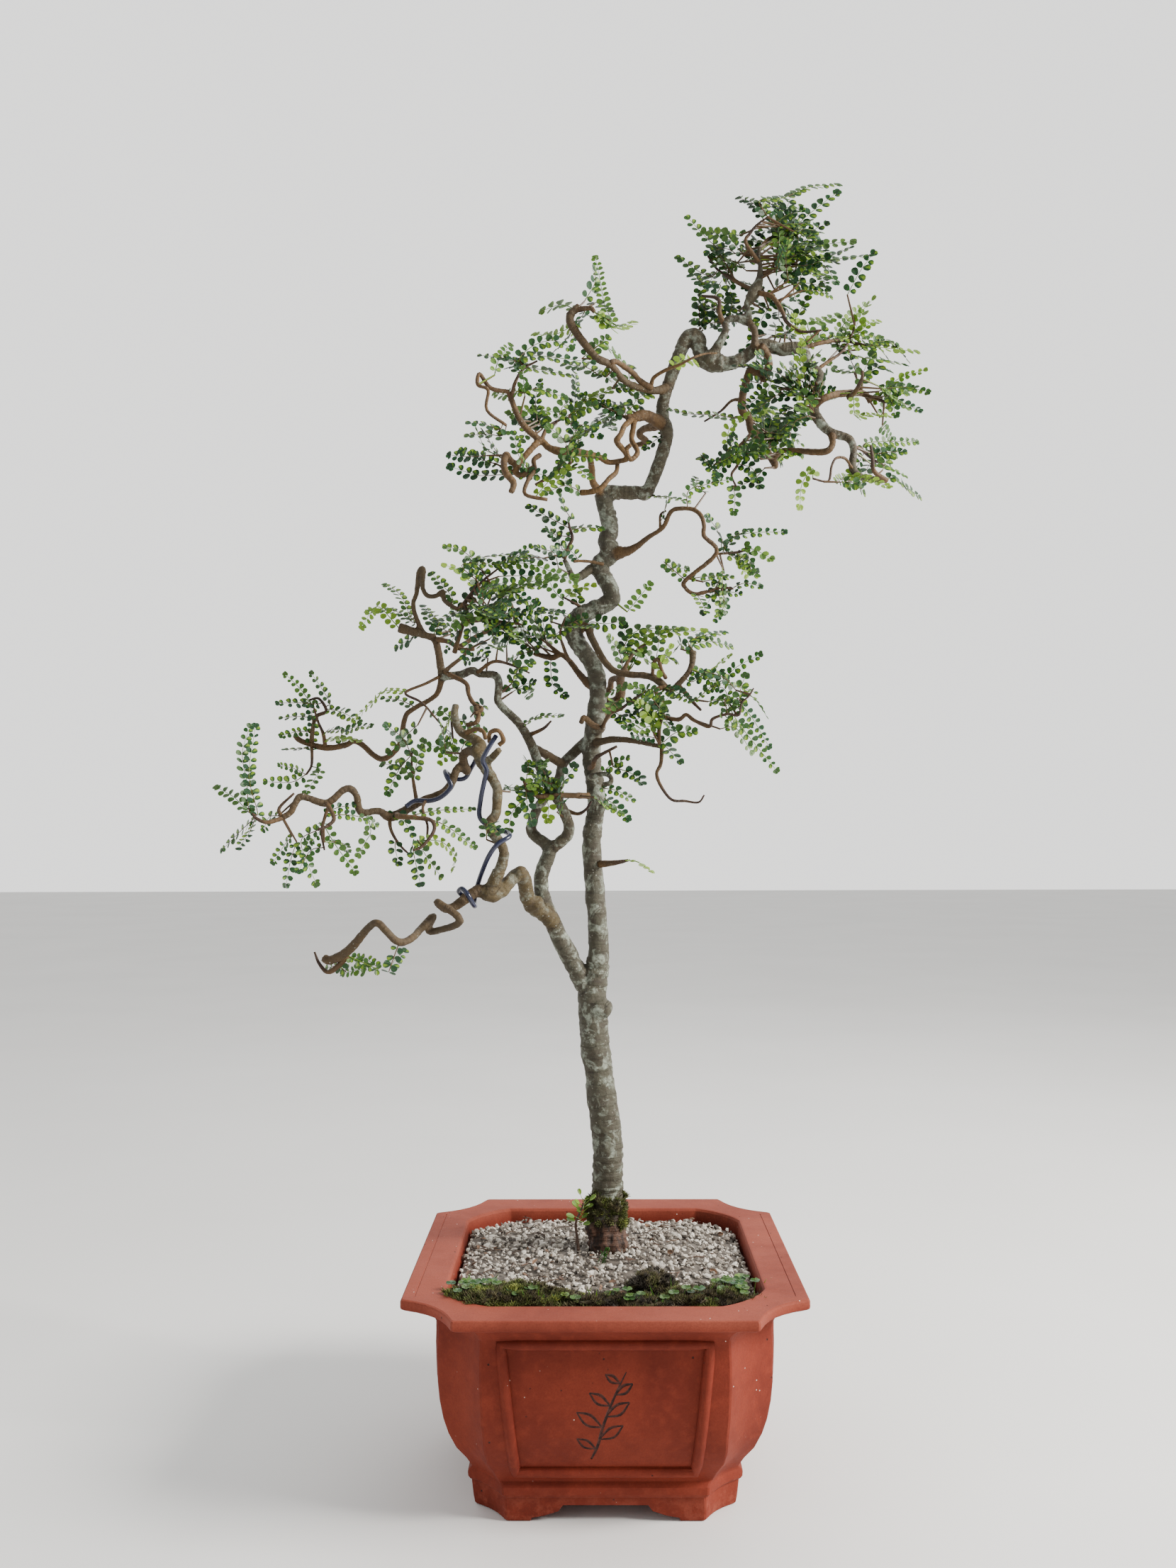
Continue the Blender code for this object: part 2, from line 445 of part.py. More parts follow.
def build_drain_wire():
    """The wire staple that holds the drain mesh down, bent outwards under the floor."""
    copper = finish_material("copper_wire", (0.55, 0.27, 0.15), 0.4, 1.0)
    under = BASE_UNDERSIDE - 1.4
    over = FLOOR_TOP + 1.5 + GAP + 0.9
    route = [(-20, -3, under), (-10, -3, under), (-9, -3, under + 1), (-9, -3, over - 1), (-8, -3, over),
             (8, -3, over), (9, -3, over - 1), (9, -3, under + 1), (10, -3, under), (20, -3, under)]
    tube("drain_mesh_wire", route, 0.8, copper)


def root_pocket(radius_gain):
    """The cone of roots under the trunk, or the pocket that the soil leaves for it."""
    return cylinder(7 + radius_gain, -60 - radius_gain, -14 + radius_gain, (3, 11), 13 + radius_gain)


def build_soil():
    """The soil that fills the pot up to the gravel, with a pocket for the root cone."""
    earth = finish_material("soil", (0.09, 0.06, 0.045), 0.95)
    steps = [(79, 18, 0, FLOOR_TOP + 6), (88, 21, 0, -100), (95, 25, -1, -84), (99, 27, -2, -60),
             (100, 29, -3, SOIL_TOP)]
    rings = [scooped_square(half - 0.6, cut, scoop, z) for half, cut, scoop, z in steps]
    soil = place("soil", mesh_from(loft(rings), "soil"), earth)
    boolean(soil, cutter("root_pocket", root_pocket(1.2)), "DIFFERENCE")


def gravel_mesh(name, lift=0.0, spread=0.0):
    """A low mound of gravel: its top rises from the mouth's edge to the trunk."""
    rings = [scooped_square(100.2 + spread, 29, -3, SOIL_TOP + GAP), scooped_square(101 + spread, 29, -3, GRAVEL_EDGE + lift)]
    for share, height in ((0.8, 0.35), (0.6, 0.6), (0.4, 0.82), (0.2, 1.0)):
        top = GRAVEL_EDGE + (GRAVEL_CROWN - GRAVEL_EDGE) * height + lift
        rings.append(scooped_square(101 * share, 29 * share, -3 * share, top))
    return mesh_from(loft(rings), name)


def build_gravel():
    """The gravel dressing around the trunk."""
    stone = finish_material("gravel", (0.55, 0.5, 0.42), 0.9)
    gravel = place("gravel_dressing", gravel_mesh("gravel"), stone)
    boolean(gravel, cutter("trunk_hole", cylinder(16.5, -30, 12, (3, 11), 15.5)), "DIFFERENCE")


def blob(centre, half, level=2):
    """A closed egg-shaped body with the given half sizes."""
    bm = bmesh.new()
    shape = Matrix.Translation(centre) @ Matrix.Diagonal((*half, 1))
    bmesh.ops.create_icosphere(bm, subdivisions=level, radius=1, matrix=shape)
    return bm


def build_moss():
    """Cushions of moss along the front edge of the gravel, and a collar of moss round the trunk."""
    moss = finish_material("moss", (0.12, 0.16, 0.03), 1.0)
    lifted = cutter("gravel_lifted", gravel_mesh("gravel_lifted", lift=GAP, spread=1.5))
    patches = {
        "moss_cushion_left": ((-62, -82, -7), (32, 16, 8)),
        "moss_cushion_centre": ((12, -84, -7), (34, 13, 8)),
        "moss_cushion_right": ((70, -74, -7), (19, 16, 6)),
        "moss_tuft_centre": ((33, -52, -4), (9, 9, 8)),
    }
    for name, (centre, half) in patches.items():
        patch = place(name, mesh_from(blob(centre, half, 3), name), moss, smooth=True)
        boolean(patch, lifted, "DIFFERENCE")
    collar = place("moss_collar", mesh_from(blob((2, 14, 27), (15.5, 15.5, 15), 3), "collar"), moss, smooth=True)
    boolean(collar, cutter("collar_bore", cylinder(12.8, 0, 60, (2.5, 15), 12)), "DIFFERENCE")


def build_wood():
    """The whole of the grown wood, from the root cone to the twigs that carry the leaves, as one body."""
    bark = finish_material("bark", (0.24, 0.17, 0.11), 0.85)
    wood = bmesh.new()
    for name, route in STEMS.items():
        points = [(x, y, z, max(r, WOOD_LEAST_RADIUS)) for x, y, z, r in smooth_route(route, 2)]
        rod = tube(name + "_core", points, 1.0, bark, resolution=2)
        bpy.context.view_layer.update()
        copy = bpy.data.meshes.new_from_object(rod.evaluated_get(bpy.context.evaluated_depsgraph_get()))
        wood.from_mesh(copy)
        bpy.data.objects.remove(rod, do_unlink=True)
    roots = root_pocket(0)
    wood.from_mesh(roots)
    mesh = bpy.data.meshes.new("tree_wood")
    wood.to_mesh(mesh)
    wood.free()
    tree = place("trunk_and_branches", mesh, bark, smooth=True)
    remesh = tree.modifiers.new("grown_together", "REMESH")
    remesh.mode = "VOXEL"
    remesh.voxel_size = WOOD_VOXEL * MM
    remesh.use_smooth_shade = True
    thin = tree.modifiers.new("plain_faces", "DECIMATE")
    thin.ratio = WOOD_KEEP


def build_wires():
    """Two lengths of dark training wire wound on the low left limb."""
    coated = finish_material("training_wire", (0.012, 0.014, 0.035), 0.25, 0.3)
    upright = [
        (-96, -44, 262), (-101, -52, 256), (-99, -58, 249), (-91, -57, 243), (-86, -50, 244), (-84, -40, 252),
        (-86, -38, 262), (-82, -46, 270), (-77, -55, 280), (-71, -57, 288), (-63.5, -52, 293), (-66, -43, 296),
        (-76, -41, 299), (-84, -43.5, 306), (-83.5, -44, 318), (-81, -46, 330), (-79, -50, 338), (-81, -56, 344),
        (-79, -58, 349), (-75, -58, 356), (-72, -56, 361)]
    outer = [
        (-85, -25, 361), (-88, -18, 350), (-94, -7, 341), (-98, -5, 335), (-104, -6, 334), (-109, -10, 337),
        (-111, -17, 339), (-109, -24, 335), (-106, -25, 328), (-112, -27, 321), (-120, -29, 318), (-130, -31, 318),
        (-136, -34, 314)]
    tube("training_wire_upright", smooth_route(upright, 2), WIRE_RADIUS, coated)
    tube("training_wire_outer", smooth_route(outer, 2), WIRE_RADIUS, coated)


def build_small_plants():
    """The shoot that rises beside the trunk and the weeds in the moss."""
    green = finish_material("young_leaf", (0.2, 0.4, 0.05), 0.5)
    brown = finish_material("shoot_bark", (0.05, 0.03, 0.025), 0.8)
    shoot = [(-18, 6, 1.4, 1.0), (-18, 5, 8, 0.9), (-19, 4, 22, 0.8), (-18, 3, 34, 0.7), (-17, 2, 42, 0.6)]
    tube("basal_shoot_stem", smooth_route(shoot, 2), 1.0, brown)
    place("basal_shoot_leaves", mesh_from(blob((-18, 2, 51), (8, 6, 8)), "shoot_leaves"), green)
    place("seedling", mesh_from(blob((-2, -22, 6), (4, 3, 4.5)), "seedling"), green)
    place("clover_left", mesh_from(blob((-86, -72, 8), (10, 8, 6)), "clover_left"), green)
    place("clover_right", mesh_from(blob((86, -62, 6), (13, 9, 5)), "clover_right"), green)


def build_leaves():
    """The leaf sprays, each one plain closed body of its outer shape."""
    leaf = finish_material("leaf", (0.1, 0.2, 0.06), 0.55)
    for name, (centre, half) in SPRAYS.items():
        place(name, mesh_from(blob(centre, half), name), leaf)


def main():
    """Builds every piece in order."""
    clear_scene()
    centre = bpy.data.objects.new("pot_centre", None)
    centre.location = POT_CENTRE
    bpy.context.scene.collection.objects.link(centre)
    build_pot()
    build_drain_mesh()
    build_drain_wire()
    build_soil()
    build_gravel()
    build_moss()
    build_wood()
    build_wires()
    build_small_plants()
    build_leaves()


main()
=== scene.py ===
"""A contorted small-leaved bonsai in a square clay pot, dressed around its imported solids.

Every length below is in millimetres, measured from the middle of the pot's rim: X to the right of
someone who faces the front panel, Y away from them, Z up.  ``bench`` turns such a place into the
frame's own metres.
"""

import logging
import math
import random
from dataclasses import dataclass, field
from enum import Enum

import bmesh
import bpy
import numpy as np
from mathutils import Matrix, Vector, kdtree, noise


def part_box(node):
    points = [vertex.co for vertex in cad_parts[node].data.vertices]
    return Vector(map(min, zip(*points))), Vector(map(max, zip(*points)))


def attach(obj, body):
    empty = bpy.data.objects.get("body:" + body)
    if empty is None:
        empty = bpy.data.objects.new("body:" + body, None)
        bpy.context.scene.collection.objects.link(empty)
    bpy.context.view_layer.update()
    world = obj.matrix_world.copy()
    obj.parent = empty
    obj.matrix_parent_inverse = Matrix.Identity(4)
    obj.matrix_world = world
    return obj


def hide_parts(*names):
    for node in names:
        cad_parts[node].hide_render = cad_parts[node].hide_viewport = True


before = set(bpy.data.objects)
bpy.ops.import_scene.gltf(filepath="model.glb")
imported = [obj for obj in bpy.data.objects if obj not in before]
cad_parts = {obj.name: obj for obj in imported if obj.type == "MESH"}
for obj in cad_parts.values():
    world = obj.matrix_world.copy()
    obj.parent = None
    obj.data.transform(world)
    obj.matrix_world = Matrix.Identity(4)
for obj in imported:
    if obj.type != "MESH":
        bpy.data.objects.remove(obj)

LOG = logging.getLogger("bonsai")
MM = 0.001
FULL_TURN = 6.28
GOLDEN_TURN = 2.4  # the turn in radians from one leaf to the next round a stem
RIB_TINT = 1.7  # a tint that the leaf finish shows as a brown rib
Socket = bpy.types.NodeSocket
Material = bpy.types.Material
Route = list[tuple[float, ...]]
Colour = tuple[float, float, float]

# The colours of loose matter, from its darkest bits to its brightest.
# The gravel's darkest colours also tint the mound between the stones as painted shade.
GRAVEL_STOPS: tuple[Colour, ...] = (
    (0.045, 0.036, 0.03), (0.19, 0.16, 0.13), (0.38, 0.34, 0.29), (0.52, 0.48, 0.42), (0.66, 0.62, 0.55))
MOSS_STOPS: tuple[Colour, ...] = (
    (0.022, 0.016, 0.009), (0.06, 0.045, 0.016), (0.055, 0.066, 0.012), (0.1, 0.125, 0.02),
    (0.27, 0.29, 0.06))
LITTER_STOPS: tuple[Colour, ...] = ((0.03, 0.018, 0.013), (0.1, 0.055, 0.035), (0.24, 0.13, 0.07))
SOIL_STOPS: tuple[Colour, ...] = ((0.03, 0.02, 0.014), (0.07, 0.045, 0.03), (0.13, 0.09, 0.06))

RIM_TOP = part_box("pot")[1][2]
POT_MIDDLE = Vector((
    (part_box("pot")[0][0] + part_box("pot")[1][0]) / 2,
    (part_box("pot")[0][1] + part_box("pot")[1][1]) / 2,
    RIM_TOP,
))

# Where the viewer's eye is, how it is turned (in radians), and its lens and frame width (in millimetres).
EYE = Vector((-5.6, -913.6, 294.4))
EYE_PITCH, EYE_YAW, EYE_ROLL = 0.0395, -0.0053, -0.0026
EYE_LENS, EYE_FRAME = 29.28, 36

# Each limb is a route of (x, y, z, radius) points in millimetres, from the limb that carries it outwards.
STEMS: dict[str, Route] = {
    "main_trunk": [
        (3, 10, -22, 15), (3, 14, 6, 12.3), (2, 15, 26, 11.2), (3, 15, 50, 10.9), (1, 14, 90, 10.4),
        (-8, 13, 170, 10.4), (-3, 12, 212, 7.4), (-8, 10, 285, 6.6), (-4, 9, 320, 6.4), (-8, 8, 355, 6.4),
        (-3, 5, 406, 6.2), (-19, 3, 435, 6.2), (-21, 3, 443, 6.2), (-17, 2, 452, 6.2), (4, 1, 461, 5.9),
        (7, 0, 469, 5.7), (-2, 0, 488, 6.1), (7, 0, 497, 6.6), (3, 0, 507, 6.1), (6, 0, 516, 6.2),
        (0, 0, 542, 5.4)],
    "leader": [
        (0, 0, 542, 5.2), (26, -1, 541, 4.6), (34, -2, 543, 4.3), (47, -5, 580, 4.5), (44, -5, 595, 4.5),
        (46, -6, 611, 4.1), (59, -8, 647, 4.6), (65, -9, 653, 4.9), (70, -9, 650, 5.1), (71, -9, 642, 5.2),
        (74, -10, 635, 6), (81, -10, 632, 6), (94, -11, 632, 4.7), (104, -11, 637, 4.3), (114, -12, 645, 4.1),
        (129, -13, 641, 4.4), (143, -14, 641, 4), (148, -15, 629, 3.1), (155, -16, 621, 3.7),
        (154, -16, 609, 3.5), (151, -17, 597, 3.1), (154, -18, 588, 3.4), (162, -19, 579, 2.9),
        (175, -20, 574, 2.6), (178, -21, 565, 2.3), (177, -22, 552, 2.6), (184, -23, 545, 2.2),
        (200, -24, 543, 2)],
    "left_stem": [(-2, 12, 168, 7), (-22, 9, 202, 6.6), (-44, -1, 254, 5), (-37, -5, 285, 4.9)],
    "fork_right_arm": [
        (-37, -5, 285, 4.4), (-30, -7, 289, 4), (-24, -8, 296, 3.9), (-25, -10, 304, 3.7),
        (-30, -12, 316, 3.5), (-42, -11, 336, 3.3), (-51, -9, 359, 3.2), (-59, -7, 373, 2.9),
        (-71, -4, 385, 2.6), (-75, -4, 391, 2.5), (-74, -2, 402, 2.6), (-77, -1, 409, 2.6),
        (-88, 1, 410, 2.3), (-94, 2, 413, 2.6), (-102, 4, 410, 2.8), (-116, 6, 409, 2.9)],
    "fork_left_arm": [
        (-37, -5, 285, 4.2), (-50, 1, 295, 3.7), (-51, 3, 301, 3.5), (-46, 7, 315, 3.3), (-33, 11, 332, 3.1),
        (-29, 13, 345, 3.3), (-23, 14, 352, 3.6), (-8, 13, 365, 3.8)],
    "cross_link": [(-28, 12, 345, 3.1), (-50, -5, 357, 2.8)],
    "stub_limb": [(-116, 6, 409, 2.7), (-120, 1, 434, 2.4), (-128, -1, 438, 2.3), (-146, -5, 443, 3.5)],
    "far_left_limb": [
        (-116, 6, 409, 2.4), (-121, 11, 396, 1.7), (-138, 18, 387, 1.7), (-145, 22, 381, 1.8),
        (-150, 29, 362, 1.8), (-157, 33, 354, 1.9), (-164, 36, 351, 2.1), (-171, 38, 354, 2),
        (-180, 41, 362, 2), (-187, 42, 365, 2), (-193, 43, 362, 2), (-208, 43, 360, 2.2),
        (-226, 41, 365, 1.9), (-231, 40, 370, 1.8)],
    "wired_arch": [
        (-37, 0, 233, 5.8), (-43, -3, 239, 5.6), (-49, -9, 243, 5.3), (-53, -15, 250, 5),
        (-55, -26, 264, 4.8), (-58, -30, 267, 4.7), (-63, -34, 264, 4.6), (-69, -40, 257, 4.6),
        (-75, -44, 253, 4.8), (-80, -46, 255, 4.9)],
    "wired_upright": [
        (-78, -45, 254, 5), (-67, -50, 281, 3.3), (-76, -48, 297, 3.2), (-77, -48, 303, 3.2),
        (-73, -47, 308, 3.2), (-72, -46, 320, 3.2), (-73, -44, 328, 3.2), (-83, -40, 344, 4)],
    "wired_prong": [(-83, -40, 344, 3), (-77, -44, 346, 2.4), (-70, -52, 352, 2)],
    "wired_top": [
        (-83, -40, 344, 3.8), (-87, -35, 352, 3.4), (-84, -32, 356, 3.6), (-91, -28, 362, 3.2),
        (-100, -25, 367, 2.7), (-103, -30, 378, 2.5), (-102, -28, 385, 2.2)],
    "wired_back": [
        (-85, -37, 349, 3.1), (-93, -24, 353, 3), (-98, -18, 350, 2.8), (-98, -14, 345, 2.8),
        (-96, -11, 339, 2.7), (-102, -14, 342, 2.6), (-108, -17, 328, 2.8), (-116, -19, 322, 2.7),
        (-127, -22, 318, 2.6), (-146, -29, 307, 3.2), (-155, -33, 311, 2.2), (-167, -36, 310, 2.4),
        (-169, -39, 321, 2.2), (-173, -41, 326, 2.3), (-178, -42, 325, 2.2), (-184, -44, 319, 2.3),
        (-190, -45, 316, 2.4), (-202, -47, 320, 2.1), (-207, -48, 320, 2.1), (-212, -49, 310, 2),
        (-218, -50, 306, 1.9)],
    "low_left_limb": [
        (-78, -45, 254, 4.6), (-86, -46, 256, 4), (-102, -52, 245, 2.8), (-108, -54, 246, 2.8),
        (-111, -56, 249, 2.4), (-95, -62, 237, 2.3), (-115, -47, 229, 2.1), (-119, -46, 231, 2.2),
        (-116, -41, 239, 2.3), (-123, -54, 231, 2.3), (-127, -67, 226, 2.3), (-134, -75, 224, 2.3),
        (-141, -80, 231, 2.2), (-148, -78, 237, 2.3), (-155, -74, 233, 2.3), (-169, -65, 218, 2.9),
        (-182, -61, 211, 2.7), (-187, -60, 213, 2.5)],
    "low_right_branch": [
        (-8, 6, 360, 3), (0, -2, 361, 2.4), (8, -7, 362, 2.2), (22, -20, 360, 1.8), (41, -31, 355, 1.5)],
    "right_loop_branch": [
        (-15, 2, 445, 3), (-9, -2, 442, 2.7), (-8, -5, 436, 2.5), (7, -20, 410, 2.2), (31, -26, 405, 2.2),
        (38, -27, 402, 2.5), (45, -29, 396, 2.3), (50, -30, 396, 1.9), (61, -31, 409, 1.8),
        (63, -32, 422, 2.6)],
    "right_rising_limb": [
        (-5, 7, 373, 4), (6, 19, 386, 4), (12, 22, 393, 3.6), (14, 15, 401, 3.3), (13, 2, 406, 2.9),
        (15, -12, 410, 2.4), (16, -20, 409, 2.2)],
    "right_back_loop": [
        (12, 20, 393, 2.5), (4, 31, 393, 2.4), (2, 34, 397, 2.2), (6, 30, 403, 2.2), (7, 21, 408, 2.1),
        (13, 8, 408, 2.1)],
    "right_bough": [
        (5, 0, 496, 6), (21, -8, 498, 2.7), (33, -16, 505, 1.6), (43, -25, 510, 1.5), (48, -33, 519, 1.5),
        (55, -37, 520, 1.4), (63, -39, 519, 1.4), (68, -42, 514, 1.4), (70, -45, 506, 1.4),
        (70, -44, 499, 1.4), (79, -41, 488, 1.4), (58, -32, 471, 1.4), (58, -30, 466, 1.3),
        (64, -29, 462, 1.3), (74, -27, 464, 1.3)],
    "upper_left_branch": [
        (48, -7, 616, 3.3), (36, -17, 610, 2.4), (17, -32, 611, 2.1), (7, -42, 619, 2.2), (0, -46, 621, 2.5),
        (-6, -47, 625, 2.5), (-22, -51, 647, 2.7), (-15, -52, 657, 2.2)],
    "elbow_left": [
        (45, -5, 589, 4.6), (33, -16, 592, 3.8), (27, -20, 591, 3.6), (21, -23, 588, 2.9), (17, -25, 589, 2)],
    "elbow_back": [
        (44, -6, 589, 3.4), (31, 13, 592, 2.4), (28, 18, 589, 2.2), (34, 24, 586, 2), (25, 30, 585, 1.8)],
    "ochre_ring": [
        (22, -24, 587, 1.9), (16, -32, 580, 1.8), (13, -40, 571, 1.8), (10, -39, 567, 1.9),
        (15, -38, 561, 1.8), (18, -35, 556, 1.7), (11, -31, 555, 1.7), (4, -33, 554, 1.8), (-2, -35, 557, 2),
        (-17, -40, 559, 2.6), (-28, -41, 559, 2.9), (-37, -41, 562, 2.1), (-42, -40, 567, 2.2),
        (-49, -44, 560, 2), (-58, -48, 547, 2.2), (-59, -49, 542, 1.9), (-54, -50, 540, 1.8),
        (-47, -50, 546, 1.7)],
    "ochre_post": [
        (2, 1, 539, 3.2), (-6, -12, 545, 2.4), (-7, -20, 552, 2.2), (-8, -29, 557, 2.1), (-10, -37, 559, 2)],
    "upper_left_rise": [(-42, -40, 567, 2), (-50, -42, 573, 2.1), (-57, -45, 581, 2), (-64, -50, 598, 1.7)],
    "upper_left_arch": [
        (-57, -47, 548, 1.7), (-62, -53, 549, 2), (-65, -61, 551, 2.3), (-66, -67, 543, 2.1),
        (-64, -71, 535, 2.2), (-59, -71, 529, 2), (-61, -72, 522, 1.8)],
    "trunk_crook": [
        (-2, 1, 489, 2.8), (-8, -2, 486, 2.8), (-13, -5, 481, 3), (-20, -10, 477, 2.3), (-24, -14, 484, 1.7),
        (-27, -15, 490, 1.5)],
    "crown_riser": [
        (79, -13, 636, 3.6), (88, -18, 651, 2.5), (89, -18, 660, 2), (97, -19, 661, 2.3),
        (104, -19, 659, 2.8), (105, -19, 666, 1.8), (104, -18, 672, 2.2), (109, -18, 680, 4.3),
        (113, -16, 690, 2.6), (114, -15, 700, 1.6), (113, -13, 708, 1.5), (114, -12, 716, 1.4)],
    "crown_post": [(109, -16, 642, 2.3), (109, -19, 652, 2.2), (105, -20, 658, 2.2)],
    "crown_drop": [
        (113, -18, 641, 2.8), (119, -16, 634, 2.6), (119, -12, 626, 2.7), (117, -9, 621, 2.4),
        (111, -5, 628, 2.7), (107, -3, 629, 2.7), (102, 6, 606, 2.7), (108, 9, 598, 2.6), (110, 9, 588, 2.5),
        (125, 6, 566, 2.7), (126, 5, 560, 1.8)],
    "right_cross_upper": [
        (151, -18, 598, 2.4), (157, -22, 602, 2.3), (168, -14, 608, 2.4), (191, 5, 615, 2.1),
        (197, 10, 610, 1.5)],
    "right_cross_lower": [
        (163, -20, 577, 2.4), (162, -26, 567, 2), (155, -24, 563, 2.2), (131, -9, 569, 1.7),
        (125, 2, 566, 1.7)],
    "centre_left_branch": [
        (-9, 7, 402, 3), (-17, 14, 412, 2.2), (-25, 19, 423, 1.9), (-31, 22, 427, 1.8), (-37, 25, 425, 2),
        (-51, 30, 429, 1.5)],
    "hook_loop": [
        (-120, 0, 435, 2), (-129, 0, 440, 1.7), (-135, -9, 457, 1.5), (-132, -13, 466, 1.5),
        (-130, -14, 480, 2), (-127, -15, 483, 1.9), (-127, -18, 469, 1.5), (-123, -19, 463, 1.5),
        (-117, -20, 463, 1.5), (-112, -21, 466, 1.6), (-111, -23, 459, 1.5), (-101, -25, 452, 1.4)],
    "trunk_coil": [
        (-9, 6, 335, 2.6), (-7, -5, 336, 1.8), (2, -14, 337, 1.6), (6, -17, 334, 1.5), (5, -20, 330, 1.5),
        (0, -19, 330, 1.5)],
}

